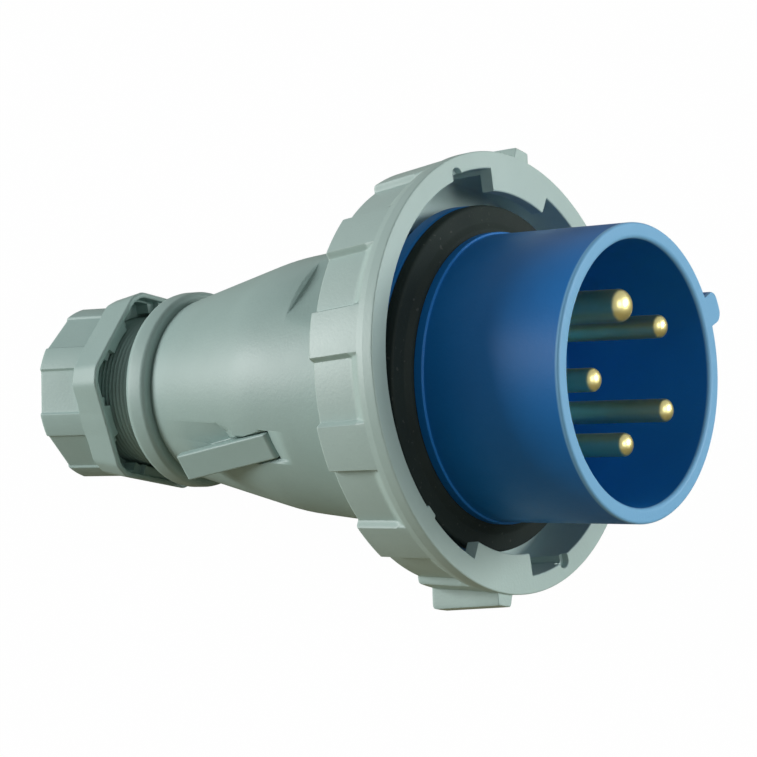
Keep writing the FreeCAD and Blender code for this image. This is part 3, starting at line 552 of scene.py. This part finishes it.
def pin_points(angle, shaft, tip, hole):
    """Section from the tip's middle to the wire hole's floor, carried round the pin and moved to its place.

    The dome is x = tip - height * (1 - cosine of t) at r = shaft * sine of t, for t up to a right angle.
    """
    t = np.linspace(0.0, np.pi / 2, 15)
    dome = np.stack([tip - DOME_SHARE * shaft * (1.0 - np.cos(t)), shaft * np.sin(t)], axis=1)
    behind = np.array([
        (-SLEEVE_DEPTH, shaft),
        (-SLEEVE_DEPTH, shaft + ROOT_STEP),
        (COLLAR_FRONT, shaft + ROOT_STEP),
        (COLLAR_FRONT, shaft + COLLAR_STEP),
        (BARREL_BACK + BARREL_CHAMFER, shaft + COLLAR_STEP),
        (BARREL_BACK, shaft + COLLAR_STEP - BARREL_CHAMFER),
        (BARREL_BACK, hole),
        (BARREL_BACK + WIRE_HOLE_DEPTH, hole),
        (BARREL_BACK + WIRE_HOLE_DEPTH + DRILL_POINT, 0.0),
    ])
    section = np.concatenate([dome, behind])
    around = np.arange(0.0, 360.0, 6.0)
    points = carried_round(np.broadcast_to(section, (len(around), *section.shape)), around)
    a = radians(angle)
    return points + np.array([0.0, PIN_CIRCLE * cos(a), PIN_CIRCLE * sin(a)])


for i, pin_node in enumerate(PIN_NODES):
    sizes = EARTH_PIN if i == 0 else OTHER_PIN
    grid = pin_points(EARTH_ANGLE + 360.0 / PIN_COUNT * i, **sizes)
    pin_faces = grid_faces(*grid.shape[:2], column_wraps=False)
    pin = piece_from(pin_node + "_turned", grid.reshape(-1, 3), pin_faces)
    dress(pin, "plug_body", pin_node, "brass")

# %% [markdown]
# ## The flange gasket
# A rubber ring lies on the flange. It is a little thicker round the sleeve, where it seals, and its outer
# side is not straight: clamped rubber swells at its free edge, so the middle corner stands out.

# %% Flange gasket
GASKET_BORE, GASKET_STEP_R, GASKET_STEP_X = 31.02, 33.6, -36.9
GASKET_FACE, GASKET_MIDDLE, GASKET_BACK = -37.0, -38.5, -39.98

gasket_angles = np.arange(0.0, 360.0, 1.5)
gasket_section = section_of([
    (FOOT_BACK, GASKET_BORE, 0.2),
    (FOOT_BACK, 32.3, 0.6),
    (GASKET_STEP_X, GASKET_STEP_R, 0.8),
    (GASKET_FACE, 37.35, 0.7),
    (GASKET_MIDDLE, 37.55, 1.5),
    (GASKET_BACK, 37.4, 0.4),
    (GASKET_BACK, GASKET_BORE, 0.3),
], gasket_angles)
gasket_grid = carried_round(gasket_section, gasket_angles)
gasket = piece_from("gasket_skin", gasket_grid.reshape(-1, 3), grid_faces(*gasket_grid.shape[:2]))
dress(gasket, "plug_body", "flange_gasket", "black_rubber")

# %% [markdown]
# ## The bayonet ring
# The ring turns on the insert's neck. Outside it has twelve pads with shallow pockets between them and two
# long lugs, which stand not quite opposite each other. Inside its front edge are two tabs that slide behind
# the socket's ramps, each with a recess and a round notch beside it. Its lip has a track for the neck's stop.
# All of these are gates on the angle. The ring hangs askew on its loose lip, so its points are turned from
# the plug's axis to the axis of the joint that it turns about.

# %% Where the ring sits
RING_MIDDLE = -47.35
ring_joint = joints["ring_turn"]
ring_centre = (np.array(ring_joint["pos_m"]) - RIM) @ AXES.T / MM
ring_axis = AXES @ np.array(ring_joint["axis"])
ring_axis = ring_axis / np.linalg.norm(ring_axis)


def on_ring(points):
    """Turns points about the ring's middle by the rotation that takes the plug's axis to the ring's."""
    across = np.cross([1.0, 0.0, 0.0], ring_axis)
    skew = np.array([[0, -across[2], across[1]], [across[2], 0, -across[0]], [-across[1], across[0], 0]])
    rotation = np.eye(3) + skew + skew @ skew / (1.0 + ring_axis[0])
    return ring_centre + (points - [RING_MIDDLE, 0.0, 0.0]) @ rotation.T


print("ring centre", ring_centre.round(2), "axis", ring_axis.round(4))

# %% Sizes of the ring
RING_FRONT, RING_BACK = -33.2, -51.6
RING_BORE, RING_OUTER = 43.1, 47.9
PAD_FRONT, PAD_BACK, POCKET, POCKET_FRONT, POCKET_DEEP = 47.4, 46.0, 1.5, -37.6, -40.2
PAD_COUNT, PAD_PITCH, PAD_SPAN, PAD_SOFT, FIRST_PAD = 12, 30.0, 13.0, 1.1, 15.0
TAB_ANGLES = (74.0, 256.0)
LUG_PLACES = (72.4, 258.2)
LUG_TOP, LUG_SPAN, LUG_SOFT = 50.5, 5.6, 0.9
LUG_FRONT, LUG_STEP = -34.0, 2.6
TAB_TOP, TAB_SPAN, TAB_BACK = 39.2, 27.5, -36.2
NOTCH_OFFSET, NOTCH_R, NOTCH_BACK = 30.5, 1.8, -34.8
RECESS, RECESS_BACK = 1.0, -43.2
BUMP_ANGLE, BUMP_SPAN, BUMP_HEIGHT = 219.0, 4.0, 0.7
LIP_BORE, LIP_FRONT, LIP_BACK, LIP_ROOT = 34.4, -46.1, -48.6, 41.5
TRACK_ANGLE, TRACK_SPAN = 170.0, 68.0

# %% Angles of the ring
pad_edges = edges_of([FIRST_PAD + PAD_PITCH * i for i in range(PAD_COUNT)], PAD_SPAN)
lug_edges = edges_of(LUG_PLACES, LUG_SPAN)
tab_edges = edges_of(TAB_ANGLES, TAB_SPAN) + edges_of([BUMP_ANGLE], BUMP_SPAN)
notch_fan = [at + NOTCH_OFFSET + off for at in TAB_ANGLES for off in np.linspace(-2.4, 2.4, 17)]
ring_angles = np.unique(np.concatenate([
    angles_with(pad_edges, 240, PAD_SOFT),
    angles_with(lug_edges, 1, LUG_SOFT, 8)[1:],
    angles_with(tab_edges, 1)[1:],
    np.round(notch_fan, 3),
]))
print("ring has", len(ring_angles), "sections")

# %% Gates of the ring
pocket = 1.0 - gate(nearest(ring_angles, FIRST_PAD, PAD_PITCH), 0.0, PAD_SPAN, PAD_SOFT)
lug = sum(gate(ring_angles, at, LUG_SPAN, LUG_SOFT) for at in LUG_PLACES)
tab = sum(gate(ring_angles, at, TAB_SPAN) for at in TAB_ANGLES)
bump = gate(ring_angles, BUMP_ANGLE, BUMP_SPAN)
recess_span = NOTCH_OFFSET - TAB_SPAN / 2
recess = sum(gate(ring_angles, at + TAB_SPAN / 2 + recess_span / 2, recess_span) for at in TAB_ANGLES)
track = gate(ring_angles, TRACK_ANGLE, TRACK_SPAN)


def notch_depth(radius, centre_r):
    """Radius out to a round groove's wall: its centre's radius plus the half chord at each angle."""
    off = [nearest(ring_angles, at + NOTCH_OFFSET, 360.0) for at in TAB_ANGLES]
    aside = np.radians(np.where(np.abs(off[0]) < np.abs(off[1]), off[0], off[1])) * centre_r
    half_chord = np.sqrt(np.maximum(radius ** 2 - aside ** 2, 0.0))
    return np.where(np.abs(aside) < radius, centre_r + half_chord, 0.0)


def between(start, end, share):
    """Radius that a gate leads from one value to another: nought keeps the first, one gives the second."""
    return start + (end - start) * share


# %% Bayonet ring
wall = np.maximum(RING_BORE + RECESS * recess, notch_depth(NOTCH_R / 2, RING_BORE + RECESS - 0.4))
inner = wall * (1.0 - tab) + TAB_TOP * tab - BUMP_HEIGHT * bump
mouth = np.maximum(inner, notch_depth(NOTCH_R, RING_BORE + RECESS - 0.3))
ring_section = section_of([
    (RING_FRONT, mouth, 0.35),
    (RING_FRONT, RING_OUTER, 0.9),
    (LUG_FRONT + 0.1, RING_OUTER - 0.03, 0.0),
    (LUG_FRONT, RING_OUTER - 0.03 + LUG_STEP * lug, 0.35),
    (LUG_FRONT - 1.8, between(RING_OUTER - 0.1, LUG_TOP, lug), 0.8),
    (POCKET_FRONT, between(PAD_FRONT, LUG_TOP, lug), 3.0),
    (POCKET_DEEP, between(PAD_FRONT - 0.25 - POCKET * pocket, LUG_TOP, lug), 3.0),
    (RING_BACK, between(PAD_BACK - POCKET * pocket, LUG_TOP, lug), 0.8),
    (RING_BACK, LIP_ROOT, 0.4),
    (LIP_BACK, LIP_ROOT, 0.4),
    (LIP_BACK, LIP_BORE + STOP_HEIGHT * track, 0.4),
    (LIP_FRONT, LIP_BORE + STOP_HEIGHT * track, 0.4),
    (LIP_FRONT, 42.5, 1.0),
    (RECESS_BACK, RING_BORE, 0.0),
    (RECESS_BACK, wall, 0.0),
    (TAB_BACK, wall, 0.0),
    (TAB_BACK, inner, 0.3),
    (NOTCH_BACK, inner, 0.0),
    (NOTCH_BACK, mouth, 0.0),
], ring_angles)
ring_grid = carried_round(ring_section, ring_angles)
ring = piece_from("bayonet_ring_skin", on_ring(ring_grid.reshape(-1, 3)), grid_faces(*ring_grid.shape[:2]))
dress(ring, "locking_ring", "locking_ring", "ring_plastic")

# %% [markdown]
# ## The rear housing
# The housing is two tapers with a long soft joint, a round bead behind a groove, and a threaded neck. The
# thread is drawn as separate ridges: on a fine thread the climb of one pitch per turn can't be seen.
# Near the ring a shallow flat for the thumb is part of the section: across it, r is the flat's distance
# divided by the cosine of the angle from its middle, wherever that is less than the taper. The lever's
# pocket and the finger recess lie askew to the axis, so they are cut out afterwards, with prisms drawn in
# the lever's own frame.

# %% Tapers and flat of the housing
HOUSING_FRONT, SHOULDER_R = -51.2, 36.0
TAPER_FRONT, TAPER_R, TAPER_SLOPE = -52.8, 32.5, 0.112
TAPER_JOINT, TAPER_BACK, STEEP_R, STEEP_SLOPE = -85.79, -117.8, 20.65, 0.254
FLAT_ANGLE, FLAT_DISTANCE, FLAT_FRONT, FLAT_BACK = 131.0, 29.0, -54.3, -73.5
BEAD_FRONT, BEAD_BACK, BEAD_R, BEAD_GROOVE_R = -117.9, -124.8, 22.7, 19.9
THREAD_FRONT, THREAD_BACK, THREAD_R, THREAD_DEPTH, THREAD_PITCH = -126.0, -141.4, 17.6, 0.45, 1.1
BOSS_ANGLE, BOSS_SPAN, BOSS_R, BOSS_SOFT = 217.0, 66.0, 19.6, 3.0


def taper_r(x):
    """Outer radius of the two tapers: the lower of two straight lines."""
    return min(TAPER_R + TAPER_SLOPE * (x - TAPER_FRONT), STEEP_R + STEEP_SLOPE * (x - TAPER_BACK))


housing_angles = angles_with(edges_of([BOSS_ANGLE], BOSS_SPAN), 300, BOSS_SOFT)
from_flat = np.radians(nearest(housing_angles, FLAT_ANGLE, 360.0))
flat_r = FLAT_DISTANCE / np.maximum(np.cos(from_flat), 0.5)
boss = gate(housing_angles, BOSS_ANGLE, BOSS_SPAN, BOSS_SOFT)
print("taper's radius", round(taper_r(TAPER_FRONT), 2), "to",
      round(taper_r(BEAD_FRONT), 2), "at the bead")


def inside_r(radius):
    """Inner radius, drawn in round the lever's pocket so that the wall stays whole there."""
    return radius + (np.minimum(BOSS_R, radius) - radius) * boss


# %% Rear housing, turned
HOUSING_BORE, CAGE_BORE, CABLE_BORE, CAGE_SEAT = 28.1, 15.3, 14.2, -135.8

roots = np.arange(THREAD_FRONT, THREAD_BACK + 0.3, -THREAD_PITCH)
thread = [corner for x in roots for corner in (
    (x, THREAD_R - THREAD_DEPTH, 0.0),
    (x - 0.4 * THREAD_PITCH, THREAD_R, 0.0),
    (x - 0.6 * THREAD_PITCH, THREAD_R, 0.0))]
flat_places = [FLAT_FRONT - 0.1, -58.0, -62.0, -66.0, -70.0, FLAT_BACK + 0.2]
flat = [(x, np.minimum(taper_r(x), flat_r), 0.0) for x in flat_places]
housing_section = section_of([
    (HOUSING_FRONT, HOUSING_BORE, 0.3),
    (HOUSING_FRONT, SHOULDER_R, 0.4),
    (TAPER_FRONT, SHOULDER_R, 0.4),
    (TAPER_FRONT, taper_r(TAPER_FRONT), 0.8),
    (FLAT_FRONT, taper_r(FLAT_FRONT), 0.0),
    *flat,
    (FLAT_BACK, taper_r(FLAT_BACK), 0.0),
    (TAPER_JOINT, taper_r(TAPER_JOINT), 60.0),
    (BEAD_FRONT + 0.5, taper_r(BEAD_FRONT + 0.5), 0.3),
    (BEAD_FRONT + 0.1, BEAD_GROOVE_R, 0.2),
    (BEAD_FRONT - 0.3, BEAD_GROOVE_R, 0.2),
    (BEAD_FRONT - 0.3, BEAD_R, 2.4),
    (BEAD_BACK, BEAD_R, 2.9),
    (BEAD_BACK, THREAD_R - 0.2, 0.6),
    *thread,
    (THREAD_BACK, THREAD_R - THREAD_DEPTH, 0.0),
    (THREAD_BACK, CAGE_BORE, 0.0),
    (CAGE_SEAT, CAGE_BORE, 0.0),
    (CAGE_SEAT, CABLE_BORE, 0.4),
    (-121.3, CABLE_BORE, 0.4),
    (-115.8, inside_r(18.7), 0.0),
    (-76.0, inside_r(27.3), 0.0),
    (-74.0, 27.9, 0.0),
], housing_angles)
housing_grid = carried_round(housing_section, housing_angles)
housing = piece_from("rear_housing_skin", housing_grid.reshape(-1, 3), grid_faces(*housing_grid.shape[:2]))

# %% [markdown]
# ## The gland nut
# The nut has two parts: a hollow hexagon in front, whose corners are cut off square, and a grip with eight
# low ridges behind. Round the axis a flat is the distance to it divided by the cosine of the angle away
# from its middle. The lowest of the six flats and the six cut corners is the hexagon. Inside the skirt each
# flat carries a tooth in two steps, the front one narrower than the one behind it.

# %% Outlines round the nut
NUT_FRONT, HEX_BACK, NUT_BACK = -131.7, -140.5, -153.5
HEX_CORNER_ANGLE, HEX_PITCH = 167.4, 60.0
HEX_FLAT_ANGLE = HEX_CORNER_ANGLE + 30.0
RIDGE_COUNT, RIDGE_ANGLE, RIDGE_PITCH, RIDGE_SPAN, RIDGE_SOFT = 8, 153.0, 45.0, 16.0, 1.6
RIDGE_TOP, GROOVE_FLAT = 20.6, 19.5


def blunt_hexagon(angles, flat, corner, sharpness=5.0):
    """Radius of a hexagon with square-cut corners: a smooth lowest of the flats' and the cuts' distances."""
    to_flat = np.radians(nearest(angles, HEX_FLAT_ANGLE, HEX_PITCH))
    to_corner = np.radians(nearest(angles, HEX_CORNER_ANGLE, HEX_PITCH))
    lines = np.stack([flat / np.cos(to_flat), corner / np.cos(to_corner)])
    return -np.log(np.exp(-sharpness * (lines - corner)).sum(axis=0)) / sharpness + corner


def ridged(angles):
    """Radius of the grip: ridges on a circle, and between them flats that rise steeply to the ridges."""
    off = nearest(angles, RIDGE_ANGLE, RIDGE_PITCH)
    to_groove = np.radians(nearest(angles, RIDGE_ANGLE + RIDGE_PITCH / 2, RIDGE_PITCH))
    on_ridge = gate(off, 0.0, RIDGE_SPAN, RIDGE_SOFT)
    in_groove = np.minimum(GROOVE_FLAT / np.cos(to_groove), RIDGE_TOP - 0.05)
    return RIDGE_TOP * on_ridge + in_groove * (1.0 - on_ridge)


# %% Angles of the nut
FIRST_TOOTH_SPAN, SECOND_TOOTH_SPAN = 22.0, 34.0

ridge_edges = edges_of([RIDGE_ANGLE + RIDGE_PITCH * i for i in range(RIDGE_COUNT)], RIDGE_SPAN)
flat_middles = [HEX_FLAT_ANGLE + HEX_PITCH * i for i in range(6)]
tooth_edges = edges_of(flat_middles, FIRST_TOOTH_SPAN) + edges_of(flat_middles, SECOND_TOOTH_SPAN)
nut_angles = np.unique(np.concatenate([
    angles_with(ridge_edges, 360, RIDGE_SOFT, 7), angles_with(tooth_edges, 1, across=4)[1:]]))
print("nut has", len(nut_angles), "sections")

# %% Gland nut
HOLLOW_FRONT, HOLLOW_BACK = (20.6, 22.9), (19.8, 22.1)
SKIRT_FRONT, SKIRT_BACK = (21.9, 24.2), (20.5, 22.4)
TOOTH_R, TOOTH_FRONT, TOOTH_STEP, SKIRT_FLOOR = 18.5, 0.7, 1.5, 5.8
THREAD_BORE, NUT_MOUTH, NUT_FLOOR, MOUTH_CHAMFER = 17.66, 12.6, -150.0, 1.4

grip = ridged(nut_angles)
skirt_front = blunt_hexagon(nut_angles, *HOLLOW_FRONT)
skirt_back = blunt_hexagon(nut_angles, *HOLLOW_BACK)
to_flat_middle = nearest(nut_angles, HEX_FLAT_ANGLE, HEX_PITCH)
first_tooth = gate(to_flat_middle, 0.0, FIRST_TOOTH_SPAN)
second_tooth = gate(to_flat_middle, 0.0, SECOND_TOOTH_SPAN)
first_r = skirt_front * (1.0 - first_tooth) + TOOTH_R * first_tooth
second_r = skirt_back * (1.0 - second_tooth) + TOOTH_R * second_tooth
nut_section = section_of([
    (NUT_FRONT, skirt_front, 0.3),
    (NUT_FRONT, blunt_hexagon(nut_angles, *SKIRT_FRONT), 0.5),
    (HEX_BACK, np.maximum(blunt_hexagon(nut_angles, *SKIRT_BACK), grip + 0.05), 0.7),
    (HEX_BACK, grip, 0.3),
    (NUT_BACK, grip, 1.2),
    (NUT_BACK, NUT_MOUTH + MOUTH_CHAMFER, 0.3),
    (NUT_BACK + 0.9, NUT_MOUTH, 0.3),
    (NUT_FLOOR, NUT_MOUTH, 0.0),
    (NUT_FLOOR, THREAD_BORE, 0.0),
    (NUT_FRONT - SKIRT_FLOOR, THREAD_BORE, 0.4),
    (NUT_FRONT - SKIRT_FLOOR, second_r, 0.3),
    (NUT_FRONT - TOOTH_FRONT - TOOTH_STEP, second_r, 0.0),
    (NUT_FRONT - TOOTH_FRONT - TOOTH_STEP, first_r - 0.3, 0.0),
    (NUT_FRONT - TOOTH_FRONT, first_r - 0.1, 0.2),
    (NUT_FRONT - TOOTH_FRONT, skirt_front - 0.05, 0.0),
], nut_angles)
nut_grid = carried_round(nut_section, nut_angles)
nut = piece_from("gland_nut_skin", nut_grid.reshape(-1, 3), grid_faces(*nut_grid.shape[:2]))
dress(nut, "gland_nut", "gland_nut", "grey_plastic")

# %% [markdown]
# ## The latch lever
# A small lever sits in a pocket on the near lower side of the housing. It is the same outline all the way
# across, so it is that outline carried across its width. Near both sides the outline shrinks along a
# quarter circle, which rounds the long edges as the mould does.

# %% The lever's own frame
LEVER_FRONT, LEVER_ANGLE, LEVER_RADIUS = -78.1, -156.8, 30.0
LEVER_LEAN, LEVER_SKEW, LEVER_HALF = 3.6, 11.8, 3.1


def rotation_about(axis, degrees_turned):
    """Right-hand rotation about the second axis (1) or the third (2), as a matrix for column vectors."""
    c, s = cos(radians(degrees_turned)), sin(radians(degrees_turned))
    if axis == 1:
        return np.array([[c, 0, s], [0, 1, 0], [-s, 0, c]])
    return np.array([[c, -s, 0], [s, c, 0], [0, 0, 1]])


lever_out = np.array([0.0, cos(radians(LEVER_ANGLE)), sin(radians(LEVER_ANGLE))])
lever_across = np.array([0.0, -sin(radians(LEVER_ANGLE)), cos(radians(LEVER_ANGLE))])
lever_axes = np.array([[-1.0, 0.0, 0.0], lever_across, lever_out]).T
lever_axes = lever_axes @ rotation_about(1, LEVER_LEAN) @ rotation_about(2, LEVER_SKEW)
lever_origin = np.array([LEVER_FRONT, 0.0, 0.0]) + lever_out * LEVER_RADIUS

# %% [markdown]
# ## The lever's pocket and the finger recess
# The lever lies in a straight pocket, deeper under its hinge, and a finger reaches its side through a
# recess whose floor slopes. Both are cut out of the turned housing. Each cutter is a prism over an outline,
# with a floor height at each corner, and the cuts are made one by one: an exact cut fails where two cutters
# share a side, so the deep part of the pocket is also a hair wider than the long one.

# %% How a cut is made
CUT_TOP = 12.0


def cutter(name, corners):
    """Prism in the lever's frame from (along, across, floor) corners up to one level top."""
    count = len(corners)
    high = [(along, across, CUT_TOP) for along, across, floor in corners]
    sides = [(i, (i + 1) % count, (i + 1) % count + count, i + count) for i in range(count)]
    faces = sides + [tuple(range(count)), tuple(range(count, 2 * count))]
    return piece_from(name, lever_origin + np.array(corners + high) @ lever_axes.T, faces)


def straight_cutter(name, start, end, half_width, floor):
    """Cutter with square ends and a level floor."""
    outline = [(start, -half_width), (end, -half_width), (end, half_width), (start, half_width)]
    return cutter(name, [(along, across, floor) for along, across in outline])


def cut_away(target, tools):
    """Cuts the tools out of a piece one by one and leaves a plain mesh with fresh sharp edges."""
    for tool in tools:
        target.modifiers.clear()
        cut = target.modifiers.new("cut", "BOOLEAN")
        cut.operation = "DIFFERENCE"
        cut.solver = "EXACT"
        cut.object = tool
        bpy.context.view_layer.update()
        whole = target.evaluated_get(bpy.context.evaluated_depsgraph_get())
        target.data = bpy.data.meshes.new_from_object(whole)
        bpy.data.objects.remove(tool)
        print(target.name, "after a cut:", len(target.data.polygons), "faces")
    target.modifiers.clear()
    target.data.shade_smooth()
    target.data.set_sharp_from_angle(angle=radians(SHARP_ANGLE))
    target.modifiers.new("even_normals", "WEIGHTED_NORMAL").keep_sharp = True


# %% Cut the pocket and the recess
POCKET_HALF = LEVER_HALF + 0.35
HAIR_WIDER = 0.05
POCKET_START, POCKET_MIDDLE, POCKET_END = -0.7, 7.2, 31.5
HINGE_FLOOR, POCKET_FLOOR = -5.55, -2.95
FINGER_RECESS = [(31.4, 0.5, -2.6), (16.0, -4.2, -2.9), (13.2, -1.9, -4.2), (12.4, 0.5, -4.2)]

cut_away(housing, [
    straight_cutter("pocket_deep", POCKET_START, POCKET_MIDDLE, POCKET_HALF + HAIR_WIDER, HINGE_FLOOR),
    straight_cutter("pocket_long", POCKET_MIDDLE - 0.1, POCKET_END, POCKET_HALF, POCKET_FLOOR),
    cutter("finger_recess", [(along, beside - POCKET_HALF, floor) for along, beside, floor in FINGER_RECESS]),
])
dress(housing, "plug_body", "rear_housing", "grey_plastic")

# %% Latch lever
LEVER_LENGTH, LEVER_THICKNESS = 30.5, 2.6
KNUCKLE_BACK, KNUCKLE_DEPTH, KNUCKLE_R = 4.0, 3.0, 2.2
LEVER_EDGE = 0.45

lever_outline = section_of([
    (0.0, 0.0, 1.2),
    (LEVER_LENGTH, 0.0, 1.4),
    (LEVER_LENGTH, -LEVER_THICKNESS, 0.4),
    (KNUCKLE_BACK + KNUCKLE_R + 0.6, -LEVER_THICKNESS, 0.3),
    (KNUCKLE_BACK + KNUCKLE_R, -KNUCKLE_DEPTH - KNUCKLE_R, 1.6),
    (KNUCKLE_BACK - KNUCKLE_R, -KNUCKLE_DEPTH - KNUCKLE_R, 1.6),
    (KNUCKLE_BACK - KNUCKLE_R - 0.6, -LEVER_THICKNESS, 0.3),
    (0.0, -LEVER_THICKNESS, 0.4),
], np.zeros(1))[0]
following = np.roll(lever_outline, -1, axis=0) - np.roll(lever_outline, 1, axis=0)
inwards = np.stack([following[:, 1], -following[:, 0]], axis=1) / np.linalg.norm(following, axis=1)[:, None]
sweep = np.linspace(0.0, np.pi / 2, 5)
rows = [(-LEVER_HALF + LEVER_EDGE * (1 - np.sin(s)), LEVER_EDGE * (1 - np.cos(s))) for s in sweep[::-1]]
rows = rows + [(-y, shrink) for y, shrink in rows[::-1]]
lever_rows = np.array([np.insert(lever_outline + inwards * shrink, 1, y, axis=1) for y, shrink in rows])
lever_points = lever_origin + lever_rows.reshape(-1, 3) @ lever_axes.T
outline_count, point_count = len(lever_outline), len(lever_points)
lever_faces = grid_faces(len(rows), outline_count, row_wraps=False).tolist()
lever_faces += [list(range(outline_count)), list(range(point_count - outline_count, point_count))]
lever = piece_from("latch_lever_skin", lever_points, lever_faces)
dress(lever, "latch_lever", "latch_lever", "grey_plastic")

# %% [markdown]
# ## The camera
# The photograph was taken with a long lens from about sixty centimetres, in front of the plug and to its
# side. The camera's place is given in the plug's frame, so it would follow if the plug were laid another
# way. It is first levelled against the plug's third axis and then rolled.

# %% Camera
CAMERA_FROM = np.array([318.31, -515.72, 20.41])
CAMERA_TO = np.array([-68.59, 0.04, 0.97])
CAMERA_ROLL = -3.496
FOCAL_PIXELS = 2900.4
FRAME_PIXELS = 757
SENSOR_WIDTH = 36.0

back = CAMERA_FROM - CAMERA_TO
back = back / np.linalg.norm(back)
level = np.cross([0.0, 0.0, 1.0], back)
level = level / np.linalg.norm(level)
plumb = np.cross(back, level)
roll = radians(CAMERA_ROLL)
right = cos(roll) * level + sin(roll) * plumb
up = cos(roll) * plumb - sin(roll) * level

data = bpy.data.cameras.new("photo_camera")
data.sensor_width = SENSOR_WIDTH
data.sensor_fit = "HORIZONTAL"
data.lens = FOCAL_PIXELS / FRAME_PIXELS * SENSOR_WIDTH
data.clip_start = 0.01
camera = bpy.data.objects.new("photo_camera", data)
bpy.context.scene.collection.objects.link(camera)
turned_axes = np.eye(4)
turned_axes[:3, 0] = turn(right)
turned_axes[:3, 1] = turn(up)
turned_axes[:3, 2] = turn(back)
turned_axes[:3, 3] = lay(CAMERA_FROM)
camera.matrix_world = Matrix(turned_axes.tolist())
bpy.context.scene.camera = camera
bpy.context.scene.view_settings.view_transform = "Standard"
print("camera at", lay(CAMERA_FROM).round(3), "lens", round(data.lens, 1))

# %% [markdown]
# ## Floor and light
# A catalogue photograph has no visible floor, only white. The floor here is white to the camera, keeps a
# faint shadow, and stays a middling, warm tone to everything else, reflections too, so that it doesn't fill
# the plug's underside with light: the photographed plug is darker and warmer below. Two large softboxes stand
# to the left and right, which leaves the nut's hollow and the ring's front dim, and a weak one near the
# camera lifts the side that faces it. Lamps are placed along the camera's own directions, because in a
# studio they are set to suit the picture.

# %% Floor
FLOOR_SIZE = 6.0
FLOOR_WHITE = 0.99
FLOOR_SEEN = (0.9, 0.9, 0.9)
FLOOR_BOUNCE = (0.46, 0.4, 0.27)


def floor_material():
    """White emission to camera rays, over a plain diffuse floor that takes the shadow."""
    material, tree = new_material("studio_floor")
    output = add(tree, "OutputMaterial")
    path = add(tree, "LightPath")
    share = add(tree, "Math", operation="MULTIPLY")
    share.inputs[1].default_value = FLOOR_WHITE
    tree.links.new(path.outputs["Is Camera Ray"], share.inputs[0])
    lit = add(tree, "BsdfDiffuse")
    tint = mix_colours(tree, path.outputs["Is Camera Ray"], FLOOR_BOUNCE, FLOOR_SEEN)
    tree.links.new(tint, lit.inputs["Color"])
    white = add(tree, "Emission", Strength=1.0)
    mixed = add(tree, "MixShader")
    tree.links.new(share.outputs[0], mixed.inputs[0])
    tree.links.new(lit.outputs[0], mixed.inputs[1])
    tree.links.new(white.outputs[0], mixed.inputs[2])
    tree.links.new(mixed.outputs[0], output.inputs["Surface"])
    return material


half = FLOOR_SIZE / 2
floor_corners = [(-half, -half, 0), (half, -half, 0), (half, half, 0), (-half, half, 0)]
floor_mesh = bpy.data.meshes.new("studio_floor")
floor_mesh.from_pydata(floor_corners, [], [(0, 1, 2, 3)])
floor = bpy.data.objects.new("studio_floor", floor_mesh)
bpy.context.scene.collection.objects.link(floor)
floor_mesh.materials.append(floor_material())

# %% Lamps
LOOK_AT = np.array([-70.0, 0.0, 0.0])
LAMPS = {
    "left_softbox": {"right_by": -1.1, "up_by": 0.2, "towards_by": -0.05, "size": 0.45, "watts": 9.4},
    "right_softbox": {"right_by": 1.1, "up_by": 0.15, "towards_by": 0.1, "size": 0.5, "watts": 9.8},
    "near_softbox": {"right_by": 0.7, "up_by": 0.2, "towards_by": 0.9, "size": 0.5, "watts": 2.9},
}


def add_lamp(name, right_by, up_by, towards_by, size, watts):
    """Square area lamp, placed in metres from the plug's middle along the camera's own directions."""
    place = lay(LOOK_AT) + turn(right) * right_by + turn(up) * up_by + turn(back) * towards_by
    away = place - lay(LOOK_AT)
    away = away / np.linalg.norm(away)
    across = np.cross(turn(up), away)
    across = across / np.linalg.norm(across)
    light = bpy.data.lights.new(name, "AREA")
    light.shape = "SQUARE"
    light.size = size
    light.energy = watts
    lamp = bpy.data.objects.new(name, light)
    bpy.context.scene.collection.objects.link(lamp)
    pose = np.eye(4)
    pose[:3, 0] = across
    pose[:3, 1] = np.cross(away, across)
    pose[:3, 2] = away
    pose[:3, 3] = place
    lamp.matrix_world = Matrix(pose.tolist())
    print(name, "at", place.round(2), "m,", watts, "W")


for name, settings in LAMPS.items():
    add_lamp(name, **settings)

# %% World
WORLD_FILL = 0.17
MIRRORED_WHITE = 0.5


def set_world():
    """White to the camera, dimmer in reflections, and a weak grey fill to everything else."""
    world = bpy.data.worlds.new("studio")
    world.use_nodes = True
    tree = world.node_tree
    tree.nodes.clear()
    path = add(tree, "LightPath")
    mirrored = add(tree, "MapRange", To_Min=WORLD_FILL, To_Max=MIRRORED_WHITE)
    tree.links.new(path.outputs["Is Glossy Ray"], mirrored.inputs["Value"])
    clear = add(tree, "Math", operation="MAXIMUM")
    tree.links.new(path.outputs["Is Camera Ray"], clear.inputs[0])
    tree.links.new(path.outputs["Is Transmission Ray"], clear.inputs[1])
    strength = add(tree, "MapRange", To_Max=1.0)
    tree.links.new(clear.outputs[0], strength.inputs["Value"])
    tree.links.new(mirrored.outputs["Result"], strength.inputs["To Min"])
    sky = add(tree, "Background")
    tree.links.new(strength.outputs[0], sky.inputs["Strength"])
    output = add(tree, "OutputWorld")
    tree.links.new(sky.outputs[0], output.inputs["Surface"])
    sky.inputs["Color"].default_value = (1, 1, 1, 1)
    bpy.context.scene.world = world
    print("world", WORLD_FILL, "as fill,", MIRRORED_WHITE, "in reflections")


set_world()
